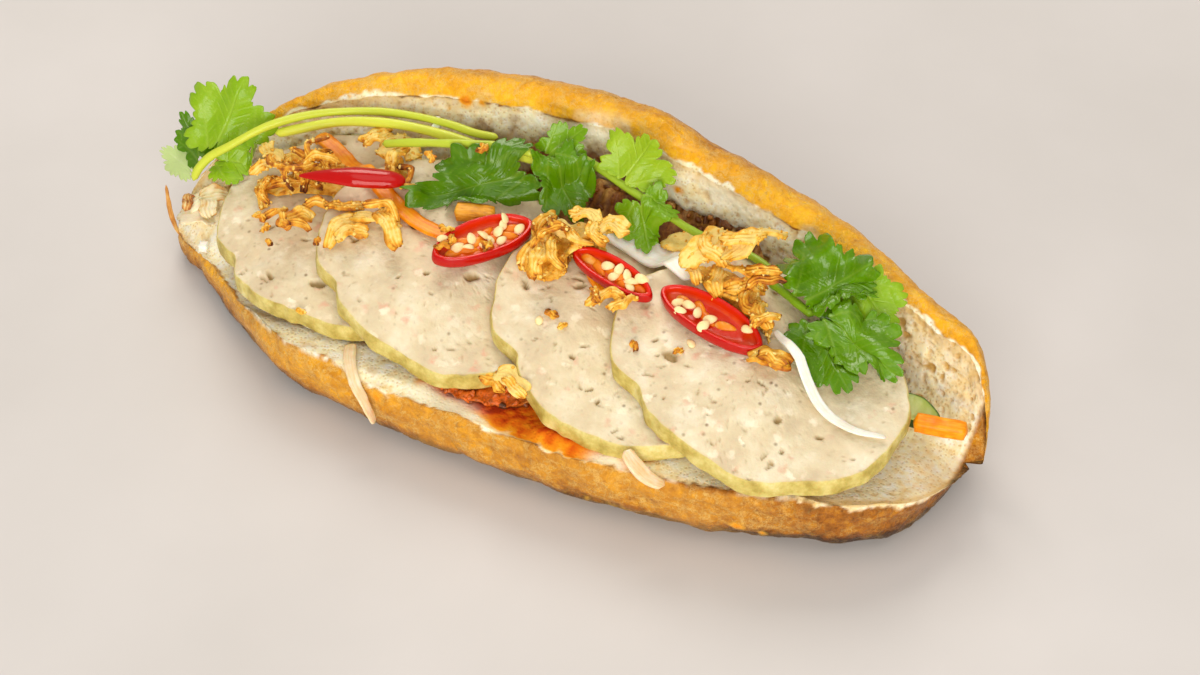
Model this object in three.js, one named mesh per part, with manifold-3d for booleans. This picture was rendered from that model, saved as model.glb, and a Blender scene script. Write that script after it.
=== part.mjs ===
// Banh mi: a crusty roll opened along its front, filled with minced meat and four shingled slices
// of ham, topped with coriander, chilli, carrot, white radish and fried onions.
// Millimetres, +Z up, X along the roll, the open side towards -Y, flat underside on z = 0.
import * as THREE from 'three';
import Module from 'manifold-3d';

const wasm = await Module();
wasm.setup();

// ---------------------------------------------------------------- driving dimensions (mm)
const GAP = 0.4;               // clearance between neighbouring solids
const ROLL_HALF = 123;         // half length of the roll
const HINGE_Y = 39;            // where the halves meet, measured at mid length
const HINGE_Z = 18.6;
const HAM_A = 41.6;            // half length of an oval ham slice, along the roll
const HAM_B = 32.8;            // half width, across it
const HAM_TURN = -8 * Math.PI / 180;
const HAM_T = 5.6;             // slice thickness
const HAM_NOTCH = 3.2;         // depth of the nick in the slices' edge
const HAM_SAG = 0.22;          // slope of a slice where it comes down off its neighbour
const HAM_AT = [[-60.6, 1.6], [-25.6, -2.0], [30.3, -4.7], [65.2, -2.8]];
const LEAF_T = 0.9;            // thickness of a leaf
const STEM_R = 1.3;            // radius of a coriander stem
const CARROT = [3.6, 3.0];     // width and height of a carrot strip
const RADISH = [3.4, 1.8];
const CHILLI_WALL = 2.3;       // flesh of a chilli ring
const CELL = 0.6;              // grid on which the toppings are settled

// ---------------------------------------------------------------- small tools
const clamp = (v, a, b) => Math.max(a, Math.min(b, v));
const step = (a, b, x) => { const u = clamp((x - a) / (b - a), 0, 1); return u * u * (3 - 2 * u); };
const lerp = (a, b, t) => a + (b - a) * t;
function seeded(seed) {
  let s = seed >>> 0;
  return () => {
    s = (s + 0x6D2B79F5) >>> 0;
    let t = Math.imul(s ^ (s >>> 15), 1 | s);
    t = (t + Math.imul(t ^ (t >>> 7), 61 | t)) ^ t;
    return ((t ^ (t >>> 14)) >>> 0) / 4294967296;
  };
}
// smooth curve through stations (a cubic with limited slopes)
function through(xs, ys) {
  const n = xs.length, m = [];
  const d = xs.slice(1).map((x, i) => (ys[i + 1] - ys[i]) / (x - xs[i]));
  for (let i = 0; i < n; i++) {
    if (i === 0) m.push(d[0]);
    else if (i === n - 1) m.push(d[n - 2]);
    else m.push(d[i - 1] * d[i] <= 0 ? 0 : 2 * d[i - 1] * d[i] / (d[i - 1] + d[i]));
  }
  return (x) => {
    if (x <= xs[0]) return ys[0];
    if (x >= xs[n - 1]) return ys[n - 1];
    let i = 0;
    while (x > xs[i + 1]) i++;
    const h = xs[i + 1] - xs[i], t = (x - xs[i]) / h, t2 = t * t, t3 = t2 * t;
    return ys[i] * (2 * t3 - 3 * t2 + 1) + m[i] * h * (t3 - 2 * t2 + t)
      + ys[i + 1] * (3 * t2 - 2 * t3) + m[i + 1] * h * (t3 - t2);
  };
}
// gentle lumps of baked crust and torn crumb
const lumps = (a, b, c) => 0.45 * Math.sin(a * 0.31 + b * 0.23 + c)
  + 0.32 * Math.sin(a * 0.13 - b * 0.41 + 2.1 * c) + 0.23 * Math.sin(a * 0.57 + b * 0.11 - c);

// a body is { v: [[x, y, z], ...], t: [[a, b, c], ...] }
function volume(b) {
  let s = 0;
  for (const [i, j, k] of b.t) {
    const p = b.v[i], q = b.v[j], r = b.v[k];
    s += p[0] * (q[1] * r[2] - q[2] * r[1]) - p[1] * (q[0] * r[2] - q[2] * r[0])
      + p[2] * (q[0] * r[1] - q[1] * r[0]);
  }
  return s / 6;
}
function outward(b) {
  if (volume(b) < 0) b.t = b.t.map(([i, j, k]) => [i, k, j]);
  return b;
}
// closed body through rings of equal length, each end closed to a point
function loft(rings, start, end) {
  const n = rings[0].length, v = rings.flat(), t = [];
  for (let r = 0; r + 1 < rings.length; r++) {
    for (let i = 0; i < n; i++) {
      const a = r * n + i, b = r * n + (i + 1) % n, c = a + n, d = b + n;
      t.push([a, b, d], [a, d, c]);
    }
  }
  const mid = (ring) => [0, 1, 2].map((k) => ring.reduce((s, p) => s + p[k], 0) / n);
  const s = v.push(start || mid(rings[0])) - 1;
  const e = v.push(end || mid(rings[rings.length - 1])) - 1;
  const o = (rings.length - 1) * n;
  for (let i = 0; i < n; i++) {
    t.push([s, (i + 1) % n, i], [e, o + i, o + (i + 1) % n]);
  }
  return outward({ v, t });
}
// points along a smooth path
function path(points, count) {
  const c = new THREE.CatmullRomCurve3(points.map((p) => new THREE.Vector3(...p)), false, 'centripetal');
  return c.getSpacedPoints(count).map((p) => [p.x, p.y, p.z]);
}
// a bar of oblong section along a path; size(u) gives [half width, half height]
function bar(pts, size, sides = 4, roll = () => 0) {
  const rings = pts.map((p, i) => {
    const a = new THREE.Vector3(...pts[Math.max(0, i - 1)]);
    const b = new THREE.Vector3(...pts[Math.min(pts.length - 1, i + 1)]);
    const dir = b.sub(a).normalize();
    const side = new THREE.Vector3().crossVectors(dir, new THREE.Vector3(0, 0, 1));
    if (side.length() < 0.2) side.set(1, 0, 0);
    side.normalize();
    const up = new THREE.Vector3().crossVectors(side, dir).normalize();
    const u = i / (pts.length - 1), [w, h] = size(u), turn = roll(u);
    const ring = [];
    for (let k = 0; k < sides; k++) {
      const a2 = (k + 0.5) / sides * Math.PI * 2;
      const f = sides === 4 ? Math.SQRT2 : 1;
      const cx = Math.cos(a2) * w * f, cy = Math.sin(a2) * h * f;
      const x = cx * Math.cos(turn) - cy * Math.sin(turn), y = cx * Math.sin(turn) + cy * Math.cos(turn);
      ring.push([p[0] + side.x * x + up.x * y, p[1] + side.y * x + up.y * y, p[2] + side.z * x + up.z * y]);
    }
    return ring;
  });
  return loft(rings);
}
const solid = (b) => new wasm.Manifold(new wasm.Mesh({
  numProp: 3, vertProperties: new Float32Array(b.v.flat()), triVerts: new Uint32Array(b.t.flat()) }));
function fuse(bodies) {
  let m = solid(bodies[0]);
  for (const b of bodies.slice(1)) m = m.add(solid(b));
  const parts = m.decompose().sort((p, q) => q.volume() - p.volume());
  const mesh = parts[0].getMesh(), v = [], t = [];
  for (let i = 0; i < mesh.vertProperties.length; i += mesh.numProp) {
    v.push([mesh.vertProperties[i], mesh.vertProperties[i + 1], mesh.vertProperties[i + 2]]);
  }
  for (let i = 0; i < mesh.triVerts.length; i += 3) t.push([...mesh.triVerts.slice(i, i + 3)]);
  return { v, t, loose: parts.length - 1 };
}

// ---------------------------------------------------------------- settling grid
const GX = -137, GY = -56, NX = Math.ceil(272 / CELL), NY = Math.ceil(134 / CELL);
const top = new Float32Array(NX * NY).fill(-1);
function cells(body, tri, visit) {
  const [p, q, r] = tri.map((i) => body.v[i]);
  const x0 = Math.max(0, Math.floor((Math.min(p[0], q[0], r[0]) - GX) / CELL));
  const x1 = Math.min(NX - 1, Math.ceil((Math.max(p[0], q[0], r[0]) - GX) / CELL));
  const y0 = Math.max(0, Math.floor((Math.min(p[1], q[1], r[1]) - GY) / CELL));
  const y1 = Math.min(NY - 1, Math.ceil((Math.max(p[1], q[1], r[1]) - GY) / CELL));
  const det = (q[0] - p[0]) * (r[1] - p[1]) - (r[0] - p[0]) * (q[1] - p[1]);
  if (Math.abs(det) < 1e-6) return;
  for (let i = x0; i <= x1; i++) {
    for (let j = y0; j <= y1; j++) {
      const x = GX + i * CELL - p[0], y = GY + j * CELL - p[1];
      const u = (x * (r[1] - p[1]) - (r[0] - p[0]) * y) / det;
      const w = ((q[0] - p[0]) * y - x * (q[1] - p[1])) / det;
      if (u >= -0.02 && w >= -0.02 && u + w <= 1.02) {
        visit(i * NY + j, p[2] + u * (q[2] - p[2]) + w * (r[2] - p[2]));
      }
    }
  }
}
function lay(body, grid = top, keep = () => true) {
  for (const t of body.t) {
    if (keep(t, body)) cells(body, t, (c, z) => { if (z > grid[c]) grid[c] = z; });
  }
  return body;
}
const move = (body, d) => {
  body.v = body.v.map((p) => [p[0] + d[0], p[1] + d[1], p[2] + d[2]]);
  return body;
};
// lets a rigid piece down onto what is under it
function settle(body, own = null, sink = 0.8) {
  let lift = -1e9;
  for (const t of body.t) {
    cells(body, t, (c, z) => {
      lift = Math.max(lift, top[c] + GAP + 0.1 - z);
      if (own) lift = Math.max(lift, own[c] - sink - z);
    });
  }
  return move(body, [0, 0, lift]);
}
function highest(x, y, r) {
  let h = -1;
  const n = Math.ceil(r / CELL), i0 = Math.round((x - GX) / CELL), j0 = Math.round((y - GY) / CELL);
  for (let i = i0 - n; i <= i0 + n; i++) {
    for (let j = j0 - n; j <= j0 + n; j++) {
      if (i >= 0 && j >= 0 && i < NX && j < NY && (i - i0) ** 2 + (j - j0) ** 2 <= n * n + 1) {
        h = Math.max(h, top[i * NY + j]);
      }
    }
  }
  return h;
}

// raises groups of vertices until the body clears what lies below it
function relax(body, group, clear = GAP) {
  for (let n = 0; n < 10; n++) {
    const need = new Map();
    for (const t of body.t) {
      let h = 0;
      cells(body, t, (c, z) => { h = Math.max(h, top[c] + clear - z); });
      if (h > 1e-3) for (const i of t) need.set(group(i), Math.max(need.get(group(i)) || 0, h));
    }
    if (!need.size) break;
    body.v = body.v.map((p, i) => (need.has(group(i)) ? [p[0], p[1], p[2] + need.get(group(i)) + 0.02] : p));
  }
  return body;
}

// ---------------------------------------------------------------- the roll
// front of the lower half, height of its cut edge, and the edge of the upper half
const frontY = through([-123, -108, -104, -92, -78, -62, -44, -22, 22, 44, 64, 82, 98, 110, 118, 122, 126],
  [-7.5, -8, -10.5, -18.5, -28, -36.5, -39.5, -42, -42.5, -41, -38.5, -33, -27.5, -19.5, -12, -2, 6]);
const edgeZ = through([-123, -113, -104, -92, -78, -62, -44, 0, 98, 110, 118, 126],
  [9.5, 10.5, 12, 14, 16.5, 18.5, 19.8, 20.2, 19.8, 18.8, 16.5, 14]);
const rimY = through([-123, -112, -104, -98, -88, -78, -68, -54, -42, -24, -3, 10, 22, 36, 50, 66, 82, 96,
  104, 110, 115, 126], [18, 22, 25.5, 29.5, 34, 37.5, 40.3, 43, 44.3, 45.6, 46, 45.8, 45, 44, 42.4, 39.8, 35.5, 30,
  26.6, 24, 21, 17]);
const rimZ = through([-123, -118, -112, -104, -98, -88, -68, -54, -24, -3, 10, 22, 36, 50, 66, 82, 96, 110,
  126], [23.5, 25.5, 28.6, 33.6, 37.2, 41.8, 47.6, 50.3, 53.5, 54.5, 54, 50.5, 48, 45, 42.5, 39.5, 37.5, 35.5, 34]);
const backT = through([-126, -110, -100, -85, -60, 0, 60, 85, 100, 110, 118, 126],
  [6, 10, 13, 17, 21.5, 23.5, 21.5, 17.5, 14, 11, 8, 6]);
const hingeY = (x) => HINGE_Y - 29 * Math.abs(x / 121) ** 3.2;
const hingeZ = (x) => HINGE_Z - 7.5 * Math.abs(clamp(x, -121, 121) / 121) ** 3;
const crumbZ = (x, y) => {   // cut face of the lower half
  const f = frontY(x) + 3, u = clamp((y - f) / (hingeY(x) - f), 0, 1);
  const arc = Math.sin(Math.PI * u), puff = 6 * step(-90, -104, x);   // the left tip is cut less deep
  return lerp(edgeZ(x) - 0.6, hingeZ(x) - 1.2, u) + (puff - 1.8 * clamp(edgeZ(x) / 18, 0, 1)) * arc;
};
const wallY = (x, z) => {    // cut face of the upper half
  const u = clamp((z - hingeZ(x)) / (rimZ(x) - hingeZ(x)), 0, 1);
  return lerp(hingeY(x), rimY(x), u);
};
function section(x) {
  const f = frontY(x), e = edgeZ(x), hy = hingeY(x), hz = hingeZ(x), ry = rimY(x), rz = rimZ(x), T = backT(x);
  const L = Math.hypot(ry - hy, rz - hz), d = [(ry - hy) / L, (rz - hz) / L], n = [d[1], -d[0]];
  const at = (a, b) => [ry + n[0] * a * T - d[0] * b * L, rz + n[1] * a * T - d[1] * b * L];
  const g = e / 20, w = T / 23.5;
  const front = [[f + 8.5 * g, 0], [f + 3.4 * g, 2.2 * g], [f + 0.9 * g, 6.4 * g], [f, 11.5 * g],
    [f - 0.2 * g, 16.6 * g], [f + 1.1 * g, e]];
  const crumb = [0.03, 0.2, 0.4, 0.6, 0.8, 0.95].map((u) => {
    const y = lerp(f + 3, hy, u);
    return [y, crumbZ(x, y)];
  });
  const wall = [[hy, hz], [0.28, 0], [0.55, 0], [0.8, 0]].map(([u, s], i) => (
    i ? [lerp(hy, ry, u), lerp(hz, rz, u)] : [u, s]));
  const back = [[ry, rz], at(0.1, -0.1), at(0.28, -0.15), at(0.56, -0.09), at(0.83, 0.12), at(0.98, 0.36),
    at(1.04, 0.62), at(1.0, 0.9)];
  const foot = [[hy + 23.5 * w, hz * 0.62], [hy + 18.5 * w, hz * 0.25], [hy + 10 * w, 0]];
  const base = [0.3, 0.65].map((u) => [lerp(hy + 10 * w, f + 8.5 * g, u), 0]);
  return [...front, ...crumb, ...wall, ...back, ...foot, ...base];
}
const KIND = [...'ffffff', ...'cccccc', ...'wwww', ...'bbbbbbbb', ...'uuu', ...'00'];
function makeRoll() {
  const left = 122.5, right = 120, xs = [];
  for (let i = 0; i <= 37; i++) {
    const a = (i / 37 - 0.5) * Math.PI * 0.985;
    const s = Math.sin(a) * 0.6 + (a / (Math.PI / 2)) * 0.4;
    xs.push(s < 0 ? s * left / 0.997 : s * right / 0.997);
  }
  const rings = xs.map((x) => {
    const end = x < 0 ? left : right, start = x < 0 ? 104 : 108;
    const over = clamp((Math.abs(x) - start) / (end - start), 0, 0.999);
    const f = Math.sqrt(1 - over * over), pole = x < 0 ? [9, 8] : [10, 9];
    return section(clamp(x, -end, end)).map(([y, z], i) => {
      const k = KIND[i], rough = { f: 0.75, b: 0.9, c: 0.28, w: 0.5, u: 0.5, 0: 0 }[k];
      const l = lumps(x, y + z * 1.7, 1.3) * rough;
      let yy = y, zz = z;
      if (k === 'f' && i > 0) { yy -= l; if (i === 5) zz += 0.3 * l; }
      if (k === 'c') zz += l;
      if (k === 'w') yy += l;
      if (k === 'b') { yy += l * 0.8; zz += i < 20 ? lumps(x * 1.6, y, 4) * 1.0 : 0; }
      if (k === 'u' && i < 26) yy += l;
      zz = Math.max(zz, 0);
      // the upper half runs a little further than the lower one at the right end
      const lean = step(92, 119, x) * 5 * step(9, 24, zz);
      return [x + lean, lerp(pole[0], yy, f), lerp(pole[1], zz, f)];
    });
  });
  return loft(rings, [-left - 0.2, 9, 8], [right + 0.5, 10, 9.5]);
}

// ---------------------------------------------------------------- ham
const restZ = (x, y) => 20.9 + 0.14 * (y + 38) - 4.5 * step(-70, -108, x);
function hamEdge(k, x, y) {   // distance outside the oval of slice k
  const dx = x - HAM_AT[k][0], dy = y - HAM_AT[k][1], c = Math.cos(HAM_TURN), s = Math.sin(HAM_TURN);
  const u = dx * c + dy * s, v = -dx * s + dy * c, th = Math.atan2(v, u);
  return Math.hypot(u, v) - HAM_A * HAM_B / Math.hypot(HAM_B * Math.cos(th), HAM_A * Math.sin(th));
}
function hamUnder(k, x, y) {  // underside of slice k, coming down off the slice before it
  const b = restZ(x, y);
  if (k === 0) return b;
  const c = hamUnder(k - 1, x, y) + HAM_T + 0.75 - HAM_SAG * Math.max(0, hamEdge(k - 1, x, y));
  const m = Math.max(b, c), w = 1.2;
  return m + w * Math.log(Math.exp((b - m) / w) + Math.exp((c - m) / w));
}
function makeHam(k) {
  const N = 38, C = HAM_AT[k], v = [], t = [];
  const rim = (a) => {
    const th = a - HAM_TURN;
    const r = HAM_A * HAM_B / Math.hypot(HAM_B * Math.cos(th), HAM_A * Math.sin(th));
    const d = Math.atan2(Math.sin(a - 3.79), Math.cos(a - 3.79));
    return r - HAM_NOTCH * Math.exp(-((d / 0.15) ** 2)) + 0.45 * Math.sin(5 * a + k) + 0.3 * Math.sin(9 * a);
  };
  const levels = [[0.34, 1, 0], [0.7, 1, 0], [0.985, 1, -0.25], [1, 0.5, 0], [0.985, 0, 0.2], [0.5, 0, 0]];
  for (const [f, side, dz] of levels) {
    for (let i = 0; i < N; i++) {
      const a = i / N * Math.PI * 2, r = rim(a) * f;
      const x = C[0] + r * Math.cos(a), y = C[1] + r * Math.sin(a);
      v.push([x, y, hamUnder(k, x, y) + HAM_T * side + dz]);
    }
  }
  for (let l = 0; l + 1 < levels.length; l++) {
    for (let i = 0; i < N; i++) {
      const a = l * N + i, b = l * N + (i + 1) % N;
      t.push([a, a + N, b + N], [a, b + N, b]);
    }
  }
  const up = v.push([C[0], C[1], hamUnder(k, C[0], C[1]) + HAM_T]) - 1;
  const dn = v.push([C[0], C[1], hamUnder(k, C[0], C[1])]) - 1, o = (levels.length - 1) * N;
  for (let i = 0; i < N; i++) t.push([up, i, (i + 1) % N], [dn, o + (i + 1) % N, o + i]);
  return outward({ v, t });
}

// ---------------------------------------------------------------- minced meat under and behind the ham
function makeMeat() {
  const rings = [], n = 8;
  for (let i = 0; i <= 21; i++) {
    const x = lerp(-96, 94, i / 21), end = Math.sqrt(Math.max(0.06, 1 - (Math.abs(x + 1) / 96.5) ** 6));
    const y0 = lerp(4, -29.5 + 2.2 * Math.sin(x * 0.21), end) + 6 * step(50, 94, x) + 12 * step(-60, -96, x);
    const y1 = hingeY(x) - 2.2, up = [], low = [];
    for (let j = 0; j < n; j++) {
      const u = j / (n - 1);
      let y = lerp(y0, y1, u);
      const near = Math.min(...HAM_AT.map((_, k) => hamEdge(k, x, y)));
      const rise = step(4.5, 9, near) * step(26, 33, y) * 9.5 * step(-75, -50, x) * step(88, 66, x);
      const bump = 0.5 * lumps(x * 3, y * 3, 7);
      let z = restZ(x, y) - 1.3 - 0.8 * step(-55, -75, x) + Math.min(0, bump) + rise * (1 + 0.12 * bump);
      z = lerp(crumbZ(x, y) + 1.5, z, end * Math.sqrt(clamp(u * 5, 0, 1)));
      if (j === n - 1) y = Math.min(wallY(x, z) - 1.9, y1 + 6);
      up.push([x, y, Math.max(z, crumbZ(x, y) + 1.7)]);
      const yb = Math.min(y, y1);
      low.push([x, yb, crumbZ(x, yb) + 1.1]);
    }
    rings.push([...up, ...low.reverse()]);
  }
  return loft(rings);
}

// ---------------------------------------------------------------- coriander
// one leaflet from its foot to its tip, facing `face`, draped over what lies below
function leaflet({ foot, tip, face, width, lobes = 1, wave = 1, seed = 1, drape = true, N = 22 }) {
  const f = new THREE.Vector3(...foot), u = new THREE.Vector3(...tip).sub(f), L = u.length();
  u.normalize();
  const n = new THREE.Vector3(...face).normalize();
  n.addScaledVector(u, -n.dot(u)).normalize();
  const w = new THREE.Vector3().crossVectors(n, u);
  const rnd = seeded(seed), ph = rnd() * 6.28, v = [], t = [];
  const centre = f.clone().addScaledVector(u, L * 0.42);
  const place = (a, r) => {
    const lobe = 0.5 + 0.5 * Math.cos(a * 5.0);
    const notch = 0.5 + 0.5 * Math.cos(a * 15 + ph);
    const rr = r * (0.70 + (0.24 * lobe + 0.06 * notch) * lobes) * (1 - 0.25 * step(2.2, 3.14, Math.abs(a)));
    const x = rr * Math.cos(a) * L * 0.58, y = rr * Math.sin(a) * width * 0.54;
    const z = wave * (0.9 * Math.sin(x * 0.32 + ph) + 0.7 * Math.sin(y * 0.6 - ph) - 0.012 * y * y);
    const p = centre.clone().addScaledVector(u, x).addScaledVector(w, y).addScaledVector(n, z);
    return p;
  };
  const ring = (s) => [...Array(N).keys()].map((i) => place((i / N) * Math.PI * 2 - Math.PI, s));
  const rings = [[place(0, 0)], ring(0.55), ring(1)];
  const sides = [[], []];
  rings.forEach((r) => r.forEach((p) => {
    let lift = 0;
    if (drape) lift = Math.max(0, highest(p.x, p.y, 1.5) + GAP + LEAF_T * 0.62 - p.z);
    p.z += lift;
    const wall = wallY(p.x, p.z);
    if (p.z < rimZ(p.x) + 1 && p.y > wall - 1.4 && p.x > -112) p.y = wall - 1.4;
    sides[0].push([p.x + n.x * LEAF_T / 2, p.y + n.y * LEAF_T / 2, p.z + n.z * LEAF_T / 2]);
    sides[1].push([p.x - n.x * LEAF_T / 2, p.y - n.y * LEAF_T / 2, p.z - n.z * LEAF_T / 2]);
  }));
  const m = sides[0].length;
  v.push(...sides[0], ...sides[1]);
  const face1 = (a, b, c) => t.push([a, b, c], [a + m, c + m, b + m]);
  for (let i = 0; i < N; i++) {
    const j = (i + 1) % N;
    face1(0, 1 + i, 1 + j);
    face1(1 + i, 1 + N + i, 1 + N + j);
    face1(1 + i, 1 + N + j, 1 + j);
    const a = 1 + N + i, b = 1 + N + j;
    t.push([a, a + m, b + m], [a, b + m, b]);
  }
  const leaf = outward({ v, t });
  if (drape) relax(leaf, (i) => i % m);
  lay(leaf);
  const mid = (j) => leaf.v[j].map((q, i) => (q + leaf.v[j + m][i]) / 2);
  const c0 = mid(0), edge = mid(1 + N).map((q, i) => lerp(q, c0[i], 0.16));
  const long = 1 + Math.hypot(...edge.map((e, i) => e - foot[i]));
  const back = foot.map((q, i) => q - 0.5 * (edge[i] - q) / long);
  return [leaf, bar([back, edge], () => [0.7, 0.7])];
}
const sprig = (bodies) => fuse(bodies.flat());
function stem(pts, count, r0 = STEM_R, r1 = STEM_R) {
  const body = bar(path(pts, count), (u) => [lerp(r0, r1, u), lerp(r0, r1, u)], 5);
  return relax(body, (i) => (i === 5 * count + 5 ? 0 : Math.min(count, Math.floor(i / 5))));
}

// ---------------------------------------------------------------- chilli
// a slanted ring of chilli: red wall, sunk pith and seeds
function chilli({ at, long, wide, high, turn, tilt, seeds, seed }) {
  const N = 20, rnd = seeded(seed), rings = [];
  const ring = (a, b, z, bend) => [...Array(N).keys()].map((i) => {
    const th = i / N * Math.PI * 2, x = a * Math.cos(th), y = b * Math.sin(th);
    return [x, y, z - bend * x * x / (a * a)];
  });
  const a = long / 2, b = wide / 2, w = CHILLI_WALL, k = 0.9;
  rings.push(ring(a * 0.7, b * 0.6, 0, k), ring(a - 0.5, b - 0.5, 0.1, k), ring(a, b, high * 0.45, k),
    ring(a - 0.5, b - 0.4, high, k), ring(a - w, b - w * 0.8, high - 0.1, k),
    ring(a - w - 0.7, b - w * 0.8 - 0.6, high * 0.55, k * 0.7));
  const bodies = [loft(rings, [0, 0, 0], [0, 0, high * 0.5])];
  for (let i = 0; i < seeds; i++) {
    const x = lerp(-0.62, 0.62, (i + 0.5) / seeds) * a + (rnd() - 0.5) * 1.5, y = (rnd() - 0.5) * b * 0.8;
    const z = high * 0.5 + 0.35 + rnd() * 0.4 - k * 0.7 * x * x / (a * a);
    const e = new THREE.Matrix4().compose(new THREE.Vector3(x, y, z),
      new THREE.Quaternion().setFromEuler(new THREE.Euler(rnd() * 0.8 - 0.4, rnd() * 0.8 - 0.4, rnd() * 6.3)),
      new THREE.Vector3(1.7, 1.2, 0.8));
    const g = { v: [], t: [] }, S = 5;
    g.v.push([0, 0, 1]);
    for (const [r, z] of [[0.85, 0.5], [0.85, -0.5]]) {
      for (let j = 0; j < S; j++) g.v.push([r * Math.cos(j / S * 6.2832), r * Math.sin(j / S * 6.2832), z]);
    }
    g.v.push([0, 0, -1]);
    for (let j = 0; j < S; j++) {
      const q = (j + 1) % S;
      g.t.push([0, 1 + j, 1 + q], [1 + j, 1 + S + j, 1 + S + q], [1 + j, 1 + S + q, 1 + q],
        [1 + 2 * S, 1 + S + q, 1 + S + j]);
    }
    g.v = g.v.map((p) => new THREE.Vector3(...p).applyMatrix4(e).toArray());
    bodies.push(outward(g));
  }
  const m = new THREE.Matrix4().compose(new THREE.Vector3(...at),
    new THREE.Quaternion().setFromEuler(new THREE.Euler(tilt[0], tilt[1], turn, 'ZYX')),
    new THREE.Vector3(1, 1, 1));
  const b2 = fuse(bodies);
  b2.v = b2.v.map((p) => new THREE.Vector3(...p).applyMatrix4(m).toArray());
  return settle(outward(b2));
}

// ---------------------------------------------------------------- fried onions
// curled bits heaped on a thin bed of crumbs, all fused into one lump
function onionHeap({ bed, bits, seed }) {
  const rnd = seeded(seed), own = new Float32Array(NX * NY).fill(-1);
  const N = bed.length, v = [], t = [];
  const cx = bed.reduce((s, p) => s + p[0], 0) / N, cy = bed.reduce((s, p) => s + p[1], 0) / N;
  const col = (x, y, h) => {
    const z = highest(x, y, 1.6) + GAP + 0.15;
    v.push([x, y, z], [x, y, z + h]);
  };
  col(cx, cy, 2.6);
  for (const p of bed) col(lerp(cx, p[0], 0.5), lerp(cy, p[1], 0.5), 2.3 + rnd() * 1.2);
  for (const p of bed) col(p[0], p[1], 0.9 + rnd() * 0.4);
  for (let i = 0; i < N; i++) {
    const a = 2 + 2 * i, b = 2 + 2 * ((i + 1) % N), c = a + 2 * N, d = b + 2 * N;
    for (const [o, f] of [[1, 1], [0, -1]]) {
      const tri = (p, q, r) => t.push(f > 0 ? [p + o, q + o, r + o] : [p + o, r + o, q + o]);
      tri(0, a, b); tri(a, c, d); tri(a, d, b);
    }
    t.push([c, d, d + 1], [c, d + 1, c + 1]);
  }
  const bodies = [lay(relax(outward({ v, t }), (i) => i >> 1), own)];
  for (const [x, y, len, wide, turn, arch, thick] of bits) {
    const pts = [];
    for (let i = 0; i <= 3; i++) {
      const s = (i / 3 - 0.5) * 2, bend = (rnd() - 0.5) * 0.3;
      const px = s * len / 2, py = (1 - s * s) * len * 0.16 + bend, pz = (1 - s * s) * arch;
      const c = Math.cos(turn), d = Math.sin(turn);
      pts.push([x + px * c - py * d, y + px * d + py * c, pz]);
    }
    const th = thick || 1.2, tw = (rnd() - 0.5) * 1.2;
    const b = bar(pts, (u) => [wide / 2 * (0.7 + 0.3 * Math.sin(Math.PI * u)), th / 2], 4,
      (u) => tw * (u - 0.5));
    bodies.push(lay(settle(b, own, 0.9), own));
  }
  return fuse(bodies);
}

// ---------------------------------------------------------------- assembly
const root = new THREE.Group();
root.name = 'banh_mi';
const report = [];
function part(name, body, colour, roughness) {
  const g = new THREE.BufferGeometry();
  g.setAttribute('position', new THREE.Float32BufferAttribute(body.v.flat(), 3));
  g.setIndex(body.t.flat());
  g.computeVertexNormals();
  const mesh = new THREE.Mesh(g, new THREE.MeshStandardMaterial({ color: colour, roughness, metalness: 0 }));
  mesh.name = name;
  root.add(mesh);
  report.push([name, body.t.length, body.loose || 0]);
  return body;
}

const roll = part('bread', makeRoll(), '#D39A4E', 0.75);
// only the floor of the opening carries toppings
lay(roll, top, (t) => t.every((i) => [3, 4, 5, 6, 7, 8, 9, 10, 11, 12].includes(i % KIND.length))
  && t.every((i) => i < KIND.length * 38));
lay(part('meat_filling', makeMeat(), '#6B3A22', 0.8));

// a round of cucumber half under the last slice
{
  const c = [103, 5.2], r = 10.5, N = 14;
  const ring = (f, z) => [...Array(N).keys()].map((i) => {
    const a = i / N * Math.PI * 2;
    return [c[0] + r * f * Math.cos(a), c[1] + r * f * Math.sin(a), z + 0.07 * r * f * Math.sin(a)];
  });
  lay(part('cucumber_slice', settle(loft([ring(0.96, 0), ring(1, 0.5), ring(1, 2.5), ring(0.95, 3)])),
    '#C9D79B', 0.45));
}
for (let k = 0; k < 4; k++) lay(part(`ham_slice_${k + 1}`, makeHam(k), '#D9C6A2', 0.6));

function drapedBar(pts, count, [w, h], sides = 4, size = () => [w / 2, h / 2], slack = 0.25) {
  const line = path(pts.map(([x, y]) => [x, y, 0]), count)
    .map(([x, y]) => [x, y, highest(x, y, w / 2 + 0.6) + GAP + h / 2 + 0.1]);
  for (let n = 0; n < 6; n++) {   // a stiff strip bridges the small dips
    for (let i = 1; i < line.length - 1; i++) {
      line[i][2] = Math.max(line[i][2], (line[i - 1][2] + line[i + 1][2]) / 2 - slack);
    }
  }
  const ring = (i) => (i === sides * (count + 1) ? 0 : Math.min(count, Math.floor(i / sides)));
  return relax(bar(line, size, sides), ring);
}
const rigidBar = (pts, count, [w, h]) => settle(bar(path(pts, count), () => [w / 2, h / 2], 4));

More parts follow.
